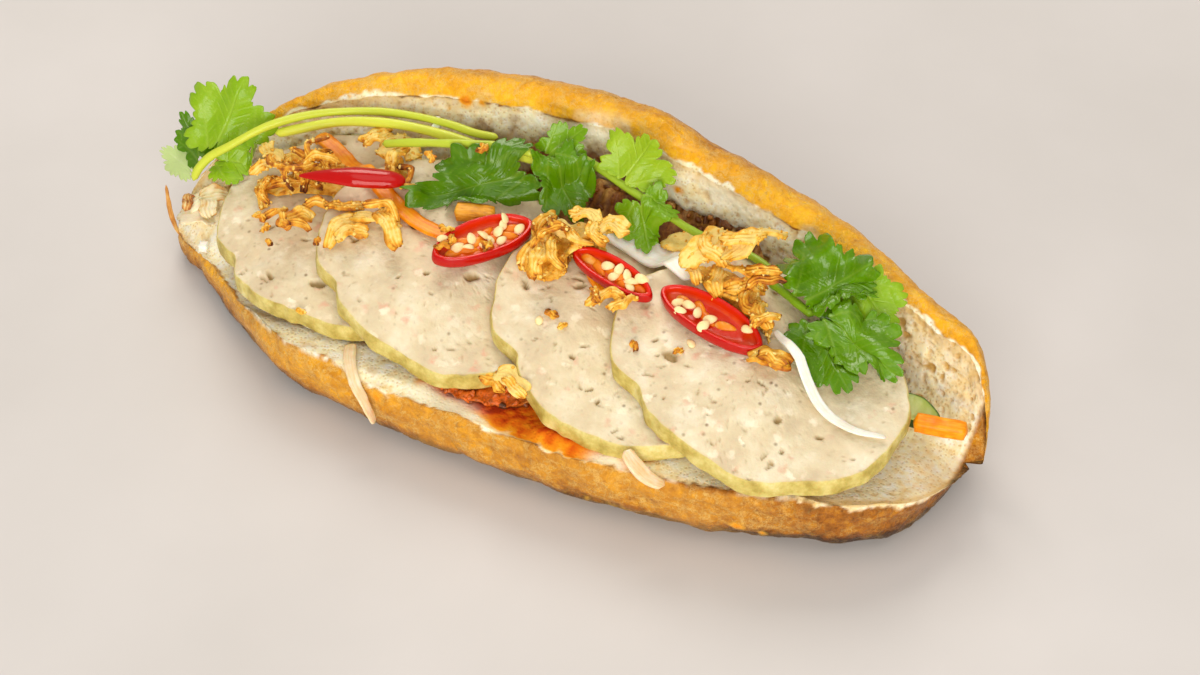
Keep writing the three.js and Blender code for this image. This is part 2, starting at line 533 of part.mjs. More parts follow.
// pickled strips
lay(part('carrot_strip_1', drapedBar([[-86, 28.5], [-80, 26.5], [-70, 21], [-57, 12], [-46, 7], [-40, 3.5],
  [-33, 2.5], [-28.5, 3]], 14, CARROT), '#EE8A1E', 0.5));
lay(part('carrot_strip_2', rigidBar([[-31.5, 9.5, 0], [-26, 11.6, 0.4], [-20.5, 12.8, 0]], 4, [5.2, 3.4]),
  '#C98A4A', 0.55));
lay(part('carrot_strip_3', drapedBar([[9.5, 9.5], [13.5, 5], [17.5, 0.5]], 4, [4.4, 2.4]), '#F0952A', 0.5));
lay(part('carrot_strip_4', rigidBar([[108.6, 4.6, 0], [114.4, 6.2, 0.1], [120.6, 8.6, 0.2]], 4, [4.6, 4]),
  '#EE8A1E', 0.5));
lay(part('radish_strip_1', drapedBar([[9.5, 21.8], [18, 22.4], [27, 20.6], [34.5, 16.5], [39, 13.5]], 9,
  [7.2, 1.6]),
  '#EFEDE2', 0.35));
lay(part('radish_strip_3', rigidBar([[-107, -7.4, 0], [-104.4, -6.6, 0]], 1, [3, 2.4]),
  '#F3F0E6', 0.35));

// a shallot chip on the mince, and shreds at the front edge
lay(part('fried_shallot_front', drapedBar([[-3.2, -29.5], [1.5, -30.6], [7, -32.5], [12.5, -35.5]], 6,
  [3.6, 1.8]), '#C79A4B', 0.7));
lay(part('shred_front_right', drapedBar([[40.5, -38.2], [46, -38.6], [53.5, -38.4]], 5, [3.8, 1.5]),
  '#E9A878', 0.5));
{
  // this one hangs down over the crust
  const pts = path([[-43, -36.2, 22.6], [-39.5, -39, 22.4], [-35.5, -42.6, 21.6], [-31.6, -45.0, 17.2],
    [-28.2, -45.6, 12.2], [-25.6, -45.8, 8.8]], 8);
  lay(part('shred_front_left', bar(pts, (u) => [1.3, lerp(0.85, 0.6, u)], 4), '#E8BE93', 0.5));
}
// toasted flakes on the left tip
{
  const flake = (c, r, z, h, ph) => {
    const n = 9, ring = (f, zz) => [...Array(n).keys()].map((i) => {
      const a = i / n * Math.PI * 2, q = r * f * (1 + 0.16 * Math.sin(2 * a + ph) + 0.08 * Math.sin(5 * a));
      return [c[0] + q * Math.cos(a), c[1] + q * 0.85 * Math.sin(a), zz + 0.05 * (q * Math.cos(a))];
    });
    return loft([ring(0.9, z), ring(1, z + h * 0.5), ring(0.92, z + h), ring(0.6, z + h * 0.8)]);
  };
  const own = new Float32Array(NX * NY).fill(-1);
  const a = lay(settle(flake([-113.4, 2.4], 5.6, 0, 2.4, 0.4)), own);
  const b = settle(flake([-114.6, 8.6], 5.2, 0, 2.8, 2.2), own, 0.7);
  lay(part('toasted_flakes', fuse([a, b]), '#E6CB95', 0.7));
}

// fried onions: [x, y, length, width, turn, arch, thickness]
lay(part('fried_onions_left', onionHeap({ seed: 11,
  bed: [[-92, 4], [-86, 3.4], [-80, 7], [-73, 8.4], [-66, 9.4], [-66, 12.8], [-71, 15.5], [-78, 16.5],
    [-85, 15], [-91, 10]],
  bits: [[-88.6, 4.5, 10, 4.2, 1.7, 1.2], [-84, 7.5, 11, 4.5, 0.6, 2.4, 1.5],
    [-79.5, 12, 10, 5, 2.6, 2.4, 1.6], [-74.6, 11.4, 9, 4, 1.1, 2.4, 1.4],
    [-71, 12, 9, 4.5, 0.1, 2.2, 1.6], [-85.6, 12.6, 8, 4.4, 0.5, 1.2, 1.5],
    [-87.4, 4.8, 8, 3.6, 2.5, 1.2, 1.3]] }), '#C98B3A', 0.7));
lay(part('fried_onion_bits_left', onionHeap({ seed: 17,
  bed: [[-62, 24.5], [-57, 18.5], [-52, 14], [-47.5, 13.5], [-48, 16.5], [-53, 20.5], [-56, 26], [-61, 28]],
  bits: [[-58.8, 25.6, 8, 5.5, 0.3, 1.4, 1.8], [-53, 17, 10, 3.8, 2.5, 1.8, 1.5]] }), '#CE9440', 0.7));
lay(part('fried_onion_flakes_left', onionHeap({ seed: 41,
  bed: [[-79, -7.5], [-71, -7], [-67, -9], [-67, -12], [-72, -12], [-79, -10.5]],
  bits: [[-71, -8.6, 8, 5, 0.3, 1.6, 1.8], [-71, -11, 8, 3.4, 0.1, 0.8, 1.5],
    [-77, -9, 7, 3, 1.2, 0.6, 1.4]] }), '#CE9440', 0.7));
lay(part('fried_onion_bits_back', onionHeap({ seed: 59,
  bed: [[25, 26.5], [28, 25], [32, 25.5], [32.5, 29], [29, 30.5], [25.5, 30]],
  bits: [[29, 27.6, 7, 5, 0.2, 1.4, 2]] }), '#DDB25C', 0.7));

// coriander behind the slices and at the left end
const FACE = [0.25, -0.6, 0.75];
lay(part('coriander_back', sprig([
  stem([[-6, 35, 52], [2, 34, 50.4], [9, 32.6, 48.6], [19.5, 31.4, 45.6], [29.5, 30, 42.5], [39, 29, 40.6],
    [47, 29, 40.4]], 9, 1.2, 1),
  leaflet({ foot: [8.5, 32.6, 48.8], tip: [15.5, 40, 63], face: FACE, width: 20, seed: 22, N: 17 }),
  leaflet({ foot: [14.4, 31.4, 47], tip: [22.4, 21.4, 36], face: FACE, width: 18, seed: 25, N: 16 }),
]), '#4C9430', 0.45));
lay(part('coriander_centre', sprig([
  stem([[-93.5, 18.2, 40.4], [-86.4, 22, 41.6], [-78.3, 26.4, 42.6], [-67.7, 29.6, 43.6], [-57.1, 31.6, 44.6],
    [-46.1, 32.2, 45.6], [-33.7, 31.6, 47], [-23, 31, 49], [-12, 30.6, 50.2]], 13, 1.4, 1.4),
  stem([[-61, 23, 38], [-52.6, 24, 41], [-43.9, 25.4, 43.4], [-35.4, 27, 45.6], [-26.5, 28.6, 47.4],
    [-16, 29, 48.8]], 7, 1.2, 1.2),
  leaflet({ foot: [-16, 27.4, 48], tip: [-46, 8.5, 41], face: FACE, width: 19, wave: 1.6, seed: 12, N: 20 }),
  leaflet({ foot: [-14.5, 31.8, 50.4], tip: [-5, 38.2, 60], face: FACE, width: 12, seed: 14, N: 14 }),
  leaflet({ foot: [-12, 30.4, 49.8], tip: [0.5, 24, 38.5], face: FACE, width: 16, seed: 19, N: 16 }),
]), '#2F7A26', 0.4));
lay(part('coriander_left', sprig([
  stem([[-113.6, 4.6, 27], [-113.2, 6, 30], [-111, 8.4, 33], [-104.2, 10.2, 36.6], [-96.2, 15.4, 42.2],
    [-88.2, 22.2, 43.8], [-79.6, 28.2, 44.8], [-68.4, 31.8, 46], [-57.6, 34, 46.8], [-43.6, 34.8, 47.4]],
  13, 1.2, 1.3),
  leaflet({ foot: [-113.6, 5.4, 28.6], tip: [-129, 8, 31.5], face: [0.3, -0.9, 0.9], width: 10, seed: 7,
    lobes: 0.5, N: 12 }),
  leaflet({ foot: [-109.4, 8.6, 34.2], tip: [-95.5, 11, 34], face: [0.2, -0.6, 0.9], width: 17, seed: 9, N: 16 }),
  leaflet({ foot: [-112.4, 7.2, 31.6], tip: [-123, 14.5, 42.5], face: [0.1, -0.8, 0.6], width: 11, seed: 5, N: 14 }),
  leaflet({ foot: [-110.4, 8.8, 33.8], tip: [-105, 24, 55], face: FACE, width: 23, seed: 2, N: 20 }),
]), '#5FA034', 0.45));

// chilli
// the first is a slice lying on its cut side, skin up
lay(part('chilli_1', drapedBar([[-74.2, -2.6], [-66.7, -0.2], [-59.2, 2.4], [-52.2, 5.2], [-45.4, 8.2]], 8,
  [5.2, 3.2], 8, (u) => {
    const q = Math.sqrt(Math.max(0.02, 1 - (2 * u - 1) ** 2));
    return [0.5 + 2.6 * q, 0.4 + 2.0 * q];
  }, -0.06), '#C81E1C', 0.25));
lay(part('chilli_2', chilli({ at: [-18.8, 1.8, 0], long: 30.5, wide: 13.6, high: 3.8, turn: 0.93,
  tilt: [0.1, 0.02], seeds: 6, seed: 8 }), '#CE201C', 0.25));
lay(part('chilli_3', chilli({ at: [18.9, 4.6, 0], long: 26.4, wide: 9.2, high: 3.6, turn: -0.2,
  tilt: [0.2, 0.1], seeds: 4, seed: 15 }), '#CE201C', 0.25));
lay(part('chilli_4', chilli({ at: [49, 2, 0], long: 33.4, wide: 12.4, high: 3.8, turn: -0.24,
  tilt: [0.12, 0.05], seeds: 6, seed: 21 }), '#CE201C', 0.25));

lay(part('fried_onion_arch', fuse((() => {
  const own = new Float32Array(NX * NY).fill(-1);
  const arc = (pts, w, t) => lay(settle(bar(path(pts, 5), (u) => [w * (0.75 + 0.25 * Math.sin(3.1 * u)), t]),
    own, 1.1), own);
  return [arc([[-57.5, -10.2, 0], [-56.5, -5, 1.6], [-54.5, -1.6, 2.4], [-50.5, 0.2, 2.8], [-46, -0.4, 2.4]],
    1.7, 0.85),
    arc([[-52, 0.6, 2], [-48, -0.6, 2.2], [-44, -2.6, 1.2], [-40.6, -5.6, 0]], 1.9, 0.95),
    arc([[-57.6, -9.8, 0], [-54, -9.6, 0.4], [-50.6, -7.4, 0.3]], 1.7, 0.85)];
})()), '#D9A441', 0.7));
lay(part('fried_onions_centre', onionHeap({ seed: 23,
  bed: [[-8, 10], [-6, 4], [-1, -3], [4, -2], [7, 3], [10, 8], [15, 12], [14, 18], [7, 18], [-3, 15.5]],
  bits: [[-5, 10.5, 12, 3.6, 1.5, 2, 1.6], [-2.6, 6, 12, 3.4, 1.7, 2.2, 1.6], [-1, 0, 9, 4, 2.2, 1.4, 1.5],
    [2, 12.5, 10, 5, 0.2, 2.4, 1.8], [9, 14.5, 9, 5, 0.8, 2, 1.8], [4, 3.4, 10, 3.4, 1.9, 1.4, 1.4],
    [13, 16, 8, 5, 0.4, 1.8, 1.6]] }), '#D29A45', 0.7));
lay(part('fried_onion_flake_centre', onionHeap({ seed: 5, bed: [[18.6, -5.6], [23.6, -7.6], [27.6, -5.6],
  [28.6, -2.6], [23.6, -1.6], [19.6, -2.6]], bits: [[22.6, -4.6, 9, 3.4, 0.6, 1.2, 1.3],
    [25.6, -4, 7, 3, 1.2, 1.4, 1.3]] }), '#D8A24A', 0.7));
lay(part('fried_onion_flake_right', onionHeap({ seed: 61, bed: [[63.6, -5.4], [68, -8.4], [73, -7], [73, -3.4],
  [69, -2.4]], bits: [[68.6, -5.4, 9, 5.4, 0.2, 0.8, 1.6]] }), '#CF9440', 0.7));

// coriander at the right end, and the long radish shred in front of it
lay(part('coriander_right', sprig([
  stem([[58, 19.6, 41], [63.4, 16.4, 41.4], [68.6, 14, 41.4], [74.2, 12.6, 41]], 4, 1.1, 1.2),
  leaflet({ foot: [71, 12.6, 40.8], tip: [89, -8.6, 35], face: FACE, width: 17, seed: 38, N: 16 }),
  leaflet({ foot: [74.4, 12, 41.2], tip: [103.6, 1, 36], face: FACE, width: 20, wave: 1.2, seed: 35, N: 18 }),
  leaflet({ foot: [73.6, 13.6, 42], tip: [97.6, 21.6, 43.6], face: FACE, width: 13, seed: 33, N: 14 }),
  leaflet({ foot: [69, 14.4, 42], tip: [80, 30.6, 48.6], face: FACE, width: 23, wave: 1.4, seed: 31, N: 18 }),
]), '#2E8428', 0.35));
lay(part('radish_strip_2', drapedBar([[65.6, 5.6], [68.6, 2.6], [73, -1.6], [79, -4.6], [84.5, -8.6], [90, -10.8],
  [97, -11], [103.5, -10]], 12, RADISH), '#F1EFE4', 0.35));
lay(part('fried_onions_right', onionHeap({ seed: 37,
  bed: [[37, 18], [42, 13], [50, 10.8], [57, 7.4], [62.5, 3], [66.6, 1.2], [66.6, 5], [62, 12], [56, 18], [48, 21],
    [41, 21.5]],
  bits: [[43, 18, 11, 5.5, 0.8, 2.6, 2.1], [51, 17.5, 11, 5.5, 1.2, 3, 2.1], [47, 13.5, 10, 5, 1.9, 2.2, 1.9],
    [55, 12, 10, 5.2, 0.4, 2.4, 1.9], [58, 8.4, 9, 4.4, 2.4, 1.6, 1.6], [63.4, 4.6, 8, 4.2, 2.3, 1.4, 1.6]] }),
'#D6A04A', 0.7));

for (const b of report) if (b[2]) console.error('loose pieces in', b[0], b[2]);
export default root;
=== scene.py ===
import math

import bpy
import numpy as np
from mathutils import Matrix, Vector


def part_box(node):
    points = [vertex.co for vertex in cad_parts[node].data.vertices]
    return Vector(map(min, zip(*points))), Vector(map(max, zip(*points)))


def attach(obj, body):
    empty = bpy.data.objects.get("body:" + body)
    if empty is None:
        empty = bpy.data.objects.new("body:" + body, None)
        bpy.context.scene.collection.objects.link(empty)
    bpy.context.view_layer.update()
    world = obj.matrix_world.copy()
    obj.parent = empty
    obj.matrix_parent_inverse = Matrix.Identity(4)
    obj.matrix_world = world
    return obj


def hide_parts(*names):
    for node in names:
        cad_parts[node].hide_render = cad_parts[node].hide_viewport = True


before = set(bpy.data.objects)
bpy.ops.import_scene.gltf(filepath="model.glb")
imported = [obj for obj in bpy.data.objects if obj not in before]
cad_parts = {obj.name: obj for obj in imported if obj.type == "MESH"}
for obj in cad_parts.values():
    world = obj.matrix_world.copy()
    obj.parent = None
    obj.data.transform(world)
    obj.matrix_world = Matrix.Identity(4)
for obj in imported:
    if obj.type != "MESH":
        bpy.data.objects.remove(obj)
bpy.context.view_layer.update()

# ---------------------------------------------------------------- table, light and camera
# A pale stone table top under one large soft light from behind on the left, a broad fill from the
# front and a weak light from above. The camera looks down at 45 degrees along the open side.
MM = 0.001
TABLE_SIZE = 6.0


def linear(colour):
    """An sRGB hex colour as linear RGBA."""
    channels = [int(colour[i:i + 2], 16) / 255 for i in (1, 3, 5)]
    return [c / 12.92 if c <= 0.04045 else ((c + 0.055) / 1.055) ** 2.4 for c in channels] + [1.0]


def add(tree, kind, inputs=(), stops=(), **settings):
    """Adds a node. Its inputs go by name, or in socket order in a list. Each one is a value, a hex
    colour, the output of another node, or that node itself, which gives its first output."""
    node = tree.nodes.new(kind if "Node" in kind else "ShaderNode" + kind)
    for key, value in settings.items():
        setattr(node, key, value)
    for key, value in inputs.items() if isinstance(inputs, dict) else enumerate(inputs):
        if isinstance(value, bpy.types.Node):
            value = value.outputs[0]
        if isinstance(value, bpy.types.NodeSocket):
            tree.links.new(value, node.inputs[key])
        else:
            node.inputs[key].default_value = linear(value) if str(value).startswith("#") else value
    for index, (position, colour) in enumerate(stops):
        ramp = node.color_ramp.elements
        if index > 1:
            ramp.new(1)
        ramp[index].position = position
        ramp[index].color = linear(colour)
    return node


def surface(name, *numbers):
    """A new material. Gives it with its node tree, its object coordinates and the named numbers
    that a mesh carries for it."""
    material = bpy.data.materials.new(name)
    material.use_nodes = True
    tree = material.node_tree
    tree.nodes.clear()
    carried = [add(tree, "Attribute", attribute_name=number).outputs["Fac"] for number in numbers]
    return material, tree, add(tree, "TexCoord").outputs["Object"], *carried


def in_scene(name, data):
    thing = bpy.data.objects.new(name, data)
    bpy.context.scene.collection.objects.link(thing)
    return thing


# stone table top: matt and even, with a faint cloudiness
table_top, tree, place = surface("matt_stone")
cloud = add(tree, "TexNoise", {"Vector": place, "Scale": 9.0, "Detail": 6.0})
shade = add(tree, "ValToRGB", [cloud], [(0.3, "#CCC9C8"), (0.75, "#D6D3D3")])
add(tree, "OutputMaterial", [add(tree, "BsdfPrincipled", {"Base Color": shade, "Roughness": 0.65})])

mesh = bpy.data.meshes.new("table")
corners = [(x * TABLE_SIZE / 2, y * TABLE_SIZE / 2, 0) for x, y in ((-1, -1), (1, -1), (1, 1), (-1, 1))]
mesh.from_pydata(corners, [], [(0, 1, 2, 3)])
mesh.materials.append(table_top)
in_scene("table", mesh)

LAMPS = [  # name, place, size, watts, colour; each one is aimed at the middle of the roll
    ("key", (-0.62, 0.95, 1.15), 0.8, 12.2, "#FFF6EA"),
    ("fill", (0.5, -1.25, 0.56), 1.1, 19.5, "#FFF9F0"),
    ("top", (0.1, -0.1, 1.5), 1.2, 5.0, "#FFFAF2")]
for name, (x, y, z), size, watts, colour in LAMPS:
    lamp = bpy.data.lights.new(name, "AREA")
    lamp.size, lamp.energy, lamp.color = size, watts, linear(colour)[:3]
    lamp_object = in_scene(name, lamp)
    lamp_object.location = x, y, z
    lamp_object.rotation_euler = math.atan2(math.hypot(x, y), z), 0, math.atan2(x, -y)

world = bpy.data.worlds.new("studio")
world.use_nodes = True
world.node_tree.nodes["Background"].inputs["Color"].default_value = linear("#FBF5EC")
world.node_tree.nodes["Background"].inputs["Strength"].default_value = 0.4
bpy.context.scene.world = world
bpy.context.scene.view_settings.view_transform = "Standard"

CAMERA_AIM, CAMERA_AWAY = np.array([8.0, 20.0, 0.0]) * MM, 715 * MM
CAMERA_TILT, CAMERA_TURN = math.radians(44.7), math.radians(25)
back = np.array([math.sin(CAMERA_TURN) * math.sin(CAMERA_TILT),
                 -math.cos(CAMERA_TURN) * math.sin(CAMERA_TILT), math.cos(CAMERA_TILT)])
camera = in_scene("camera", bpy.data.cameras.new("camera"))
camera.data.lens, camera.data.sensor_width, camera.data.clip_start = 75, 36, 0.01
camera.location = CAMERA_AIM + back * CAMERA_AWAY
camera.rotation_euler = CAMERA_TILT, 0, CAMERA_TURN
bpy.context.scene.camera = camera

# ---------------------------------------------------------------- the roll
# A wheat roll baked to a thin crackly crust and cut open along the front, so that the upper half
# stands back on its hinge. The cut faces are open white crumb, buttered along the top edge and
# stained with chilli sauce in front.
ROLL_LEFT, ROLL_RIGHT = 122.5, 120.0
ROUND_LEFT, ROUND_RIGHT = 104, 108          # where the ends begin to close
POLE_LEFT, POLE_RIGHT = (9, 8), (10, 9)     # y and z of the end points
HINGE_Y, HINGE_Z = 39, 18.6                 # the hinge at mid length
HINGE_IN, HINGE_DOWN, HINGE_HALF = 29, 7.5, 121     # how far it runs in and down towards the ends
SECTION_POINTS = 29


def step(a, b, x):
    """0 up to a, 1 from b on and smooth between; a may be the higher one."""
    u = np.clip((x - a) / (b - a), 0, 1)
    return u * u * (3 - 2 * u)


def fade(away, reach, power=2):
    """1 at no distance, and soon nothing beyond `reach`."""
    return np.exp(-(away / reach) ** power)


def through(xs, ys):
    """A smooth curve through stations: a cubic with limited slopes."""
    xs, ys = np.array(xs, float), np.array(ys, float)
    d = np.diff(ys) / np.diff(xs)
    both = d[:-1] + d[1:]
    inner = np.where(d[:-1] * d[1:] > 0, 2 * d[:-1] * d[1:] / np.where(both == 0, 1, both), 0)
    m = np.concatenate([d[:1], inner, d[-1:]])

    def at(x):
        x = np.clip(x, xs[0], xs[-1])
        i = np.clip(np.searchsorted(xs, x, side="right") - 1, 0, len(xs) - 2)
        h = xs[i + 1] - xs[i]
        t = (x - xs[i]) / h
        return (ys[i] * (2 * t**3 - 3 * t**2 + 1) + m[i] * h * (t**3 - 2 * t**2 + t)
                + ys[i + 1] * (3 * t**2 - 2 * t**3) + m[i + 1] * h * (t**3 - t**2))
    return at


front_y = through([-123, -108, -104, -92, -78, -62, -44, -22, 22, 44, 64, 82, 98, 110, 118, 122, 126],
                  [-7.5, -8, -10.5, -18.5, -28, -36.5, -39.5, -42, -42.5, -41, -38.5, -33, -27.5, -19.5,
                   -12, -2, 6])
edge_z = through([-123, -113, -104, -92, -78, -62, -44, 0, 98, 110, 118, 126],
                 [9.5, 10.5, 12, 14, 16.5, 18.5, 19.8, 20.2, 19.8, 18.8, 16.5, 14])
rim_y = through([-123, -112, -104, -98, -88, -78, -68, -54, -42, -24, -3, 10, 22, 36, 50, 66, 82, 96,
                 104, 110, 115, 126],
                [18, 22, 25.5, 29.5, 34, 37.5, 40.3, 43, 44.3, 45.6, 46, 45.8, 45, 44, 42.4, 39.8, 35.5,
                 30, 26.6, 24, 21, 17])
rim_z = through([-123, -118, -112, -104, -98, -88, -68, -54, -24, -3, 10, 22, 36, 50, 66, 82, 96, 110, 126],
                [23.5, 25.5, 28.6, 33.6, 37.2, 41.8, 47.6, 50.3, 53.5, 54.5, 54, 50.5, 48, 45, 42.5, 39.5,
                 37.5, 35.5, 34])
back_thick = through([-126, -110, -100, -85, -60, 0, 60, 85, 100, 110, 118, 126],
                     [6, 10, 13, 17, 21.5, 23.5, 21.5, 17.5, 14, 11, 8, 6])


def hinge_y(x):
    return HINGE_Y - HINGE_IN * np.abs(x / HINGE_HALF) ** 3.2


def hinge_z(x):
    return HINGE_Z - HINGE_DOWN * np.abs(np.clip(x, -HINGE_HALF, HINGE_HALF) / HINGE_HALF) ** 3


def crumb_z(x, y):
    """The cut face of the lower half."""
    f = front_y(x) + 3
    u = np.clip((y - f) / (hinge_y(x) - f), 0, 1)
    puff = 6 * step(-90, -104, x)   # the left tip is cut less deep
    low, high = edge_z(x) - 0.6, hinge_z(x) - 1.2
    return low + (high - low) * u + (puff - 1.8 * np.clip(edge_z(x) / 18, 0, 1)) * np.sin(np.pi * u)


def rises(x, y):
    """How far the soft crumb swells up in front, against the slices."""
    return (1.7 * step(-41, -36, y) * step(-24, -29, y) * (1 - step(-20, -14, x) * step(18, 12, x))
            * step(-98, -84, x) * step(98, 84, x))


def wall_y(x, z):
    """The cut face of the upper half."""
    u = np.clip((z - hinge_z(x)) / (rim_z(x) - hinge_z(x)), 0, 1)
    return hinge_y(x) + (rim_y(x) - hinge_y(x)) * u


def random_at(cell, seed):
    """A fixed random number from 0 to 1 for each whole-number cell."""
    n = (cell @ [374761393, 668265263, 1442695041] + seed * 97531) & 0xFFFFFFFF
    for shift, factor in ((13, 1274126177), (15, 2246822519)):
        n = ((n ^ (n >> shift)) * factor) & 0xFFFFFFFF
    return ((n ^ (n >> 16)) & 0xFFFFFF) / 0xFFFFFF


def grain(p, size, seed):
    """Smooth lumps from -1 to 1, about one for every `size` millimetres."""
    q = p / size + 50
    cell = np.floor(q).astype(np.int64)
    f = q - cell
    f = f * f * (3 - 2 * f)
    total = np.zeros(q.shape[:-1])
    for corner in np.ndindex(2, 2, 2):
        weight = np.prod(np.where(corner, f, 1 - f), axis=-1)
        total += weight * random_at(cell + np.array(corner), seed)
    return total * 2 - 1


def cells(p, size, seed):
    """Distance to the nearest of many scattered centres, in units of `size`, and its random number."""
    q = p / size + 50
    home = np.floor(q).astype(np.int64)
    nearest, number = np.full(q.shape[:-1], 9.0), np.zeros(q.shape[:-1])
    for offset in np.ndindex(3, 3, 3):
        cell = home + np.array(offset) - 1
        centre = cell + np.stack([random_at(cell, seed + k) for k in (1, 2, 3)], -1)
        away = np.linalg.norm(q - centre, axis=-1)
        number = np.where(away < nearest, random_at(cell, seed + 4), number)
        nearest = np.minimum(away, nearest)
    return nearest, number


def lumps(a, b, c):
    """Gentle waves from -1 to 1."""
    return (0.45 * np.sin(a * 0.31 + b * 0.23 + c) + 0.32 * np.sin(a * 0.13 - b * 0.41 + 2.1 * c)
            + 0.23 * np.sin(a * 0.57 + b * 0.11 - c))


def weights(count, at):
    """What each of `count` points of a smooth curve adds at the parameters `at`."""
    share = np.zeros((len(at), count))
    for row, t in enumerate(at):
        i = min(int(t), count - 2)
        u = t - i
        share[row, i] += 2 * u**3 - 3 * u**2 + 1
        share[row, i + 1] += 3 * u**2 - 2 * u**3
        for j, w in ((i, u**3 - 2 * u**2 + u), (i + 1, u**3 - u**2)):
            a, b = max(j - 1, 0), min(j + 1, count - 1)
            share[row, b] += w / (b - a)
            share[row, a] -= w / (b - a)
    return share


def section(x):
    """The points round the roll at each x: front, lower crumb, upper crumb, back, foot, base."""
    f, e, hy, hz, ry, rz, thick = (
        curve(x) for curve in (front_y, edge_z, hinge_y, hinge_z, rim_y, rim_z, back_thick))
    long = np.hypot(ry - hy, rz - hz)
    dy, dz = (ry - hy) / long, (rz - hz) / long
    g, w, flat = e / 20, thick / 23.5, 0 * x
    foot = hy + 10 * w
    points = [(f + 8.5 * g, flat), (f + 3.4 * g, 2.2 * g), (f + 0.9 * g, 6.4 * g), (f, 11.5 * g),
              (f - 0.2 * g, 16.6 * g), (f + 1.1 * g, e)]
    for u in (0.03, 0.2, 0.4, 0.6, 0.8, 0.95):
        y = f + 3 + (hy - f - 3) * u
        points.append((y, crumb_z(x, y)))
    for u in (0, 0.28, 0.55, 0.8, 1):
        points.append((hy + (ry - hy) * u, hz + (rz - hz) * u))
    for a, b in ((0.1, -0.1), (0.28, -0.15), (0.56, -0.09), (0.83, 0.12), (0.98, 0.36), (1.04, 0.62),
                 (1.0, 0.9)):
        points.append((ry + dz * a * thick - dy * b * long, rz - dy * a * thick - dz * b * long))
    points += [(hy + 23.5 * w, hz * 0.62), (hy + 18.5 * w, hz * 0.25), (foot, flat)]
    points += [(foot + (f + 8.5 * g - foot) * u, flat) for u in (0.3, 0.65)]
    return np.stack([np.stack(point, -1) for point in points], 1)


STATIONS = 440      # sections along the roll
ZONES = [  # first point, last point, stretches between them (from, to, samples)
    (0, 5, [(0, 5, 38)]),
    (5, 12, [(0, 1, 6), (1, 2.1, 36), (2.1, 6, 16), (6, 7, 8)]),
    (12, 16, [(0, 4, 56)]),
    (16, SECTION_POINTS, [(0, 3.4, 30), (3.4, 8, 14), (8, 13, 8)])]
shares, zone_of = [], []
for number, (first, last, stretches) in enumerate(ZONES):
    at = np.concatenate([np.linspace(a, b, n, endpoint=False) for a, b, n in stretches])
    share = np.zeros((len(at), SECTION_POINTS + 1))
    share[:, first:last + 1] = weights(last - first + 1, at)
    share[:, 0] += share[:, -1]
    shares.append(share[:, :-1])
    zone_of += [number] * len(at)
shares = np.concatenate(shares)
front_crust, lower_crumb, upper_crumb, back_crust = (np.array([zone_of]) == k for k in range(len(ZONES)))
below_cut = front_crust | lower_crumb

# how far the gentle lumps of the crust move each point of the section, in y and in z
rough_y = np.array([0] + [-0.55] * 5 + [0] * 6 + [0.4] * 4 + [0.45] * 8 + [0.4] * 2 + [0] * 3)
rough_z = np.array([0] * 5 + [-0.22] + [0.28] * 6 + [0] * 17)
top_z = np.array([0] * 16 + [0.4] * 4 + [0] * 9)

angle = (np.arange(STATIONS) / (STATIONS - 1) - 0.5) * math.pi * 0.9985     # denser towards the ends
along = np.sin(angle) * 0.6 + angle / (math.pi / 2) * 0.4
x = np.where(along < 0, along * ROLL_LEFT, along * ROLL_RIGHT)
y, z = np.moveaxis(np.einsum("ri,sic->src", shares, section(x)), -1, 0)
x = np.repeat(x[:, None], y.shape[1], 1)
lump = lumps(x, y + z * 1.7, 1.3)
z = z + rises(x, y) * lower_crumb
y = y + lump * (shares @ rough_y)
z = z + lump * (shares @ rough_z) + lumps(x * 1.6, y, 4) * (shares @ top_z)
end, start = np.where(x < 0, ROLL_LEFT, ROLL_RIGHT), np.where(x < 0, ROUND_LEFT, ROUND_RIGHT)
full = np.sqrt(1 - np.clip((np.abs(x) - start) / (end - start), 0, 0.99995) ** 2)
z = np.maximum(z, 0)
lean = step(92, 119, x) * 5 * step(9, 24, z)   # the upper half runs further at the right end
pole_y, pole_z = (np.where(x < 0, POLE_LEFT[k], POLE_RIGHT[k]) for k in (0, 1))
roll = np.stack([x + lean, pole_y + (y - pole_y) * full, pole_z + (z - pole_z) * full], -1)
x, y, z = np.moveaxis(roll, -1, 0)

# distance along the section from the edges of the cut, out onto the crust
around = np.linalg.norm(np.roll(roll, -1, 1) - roll, axis=-1)
run = np.concatenate([np.zeros((STATIONS, 1)), np.cumsum(around, 1)[:, :-1]], 1)
lip_at, rim_at = (run[:, [np.argmax(zone)]] for zone in (lower_crumb, back_crust))
from_rim = run - rim_at
on_crust = np.where(below_cut, lip_at - run, from_rim)
ragged = 1.5 * grain(roll, 7, 5) + 0.8 * grain(roll, 3, 7) + 0.8 * grain(roll, 1.4, 6)
torn_back = 0.7 * step(-32, -58, x) * back_crust     # thin crust on the left rim
crust = step(-0.5, 0.3, on_crust + ragged - 0.8 * step(60, 110, x) - torn_back)
peeled = (step(0.12, 0.42, grain(roll * [0.5, 1, 1], 5, 48)) * fade(on_crust - 2.2, 2.0)
          * back_crust * step(96, 70, x) * step(-46, -40, x)
          * (0.55 + 0.45 * step(-10, -18, x)))     # the thin crust came off along the rim
crust = np.maximum(crust * (1 - 0.85 * peeled), step(117.2, 119.2, x - 0.12 * z))

normal = np.cross(np.roll(roll, -1, 1) - np.roll(roll, 1, 1), np.gradient(roll, axis=0))
normal /= np.maximum(np.linalg.norm(normal, axis=-1, keepdims=True), 1e-9)
if np.sum(normal * (roll - roll.mean(1, keepdims=True))) < 0:
    normal = -normal

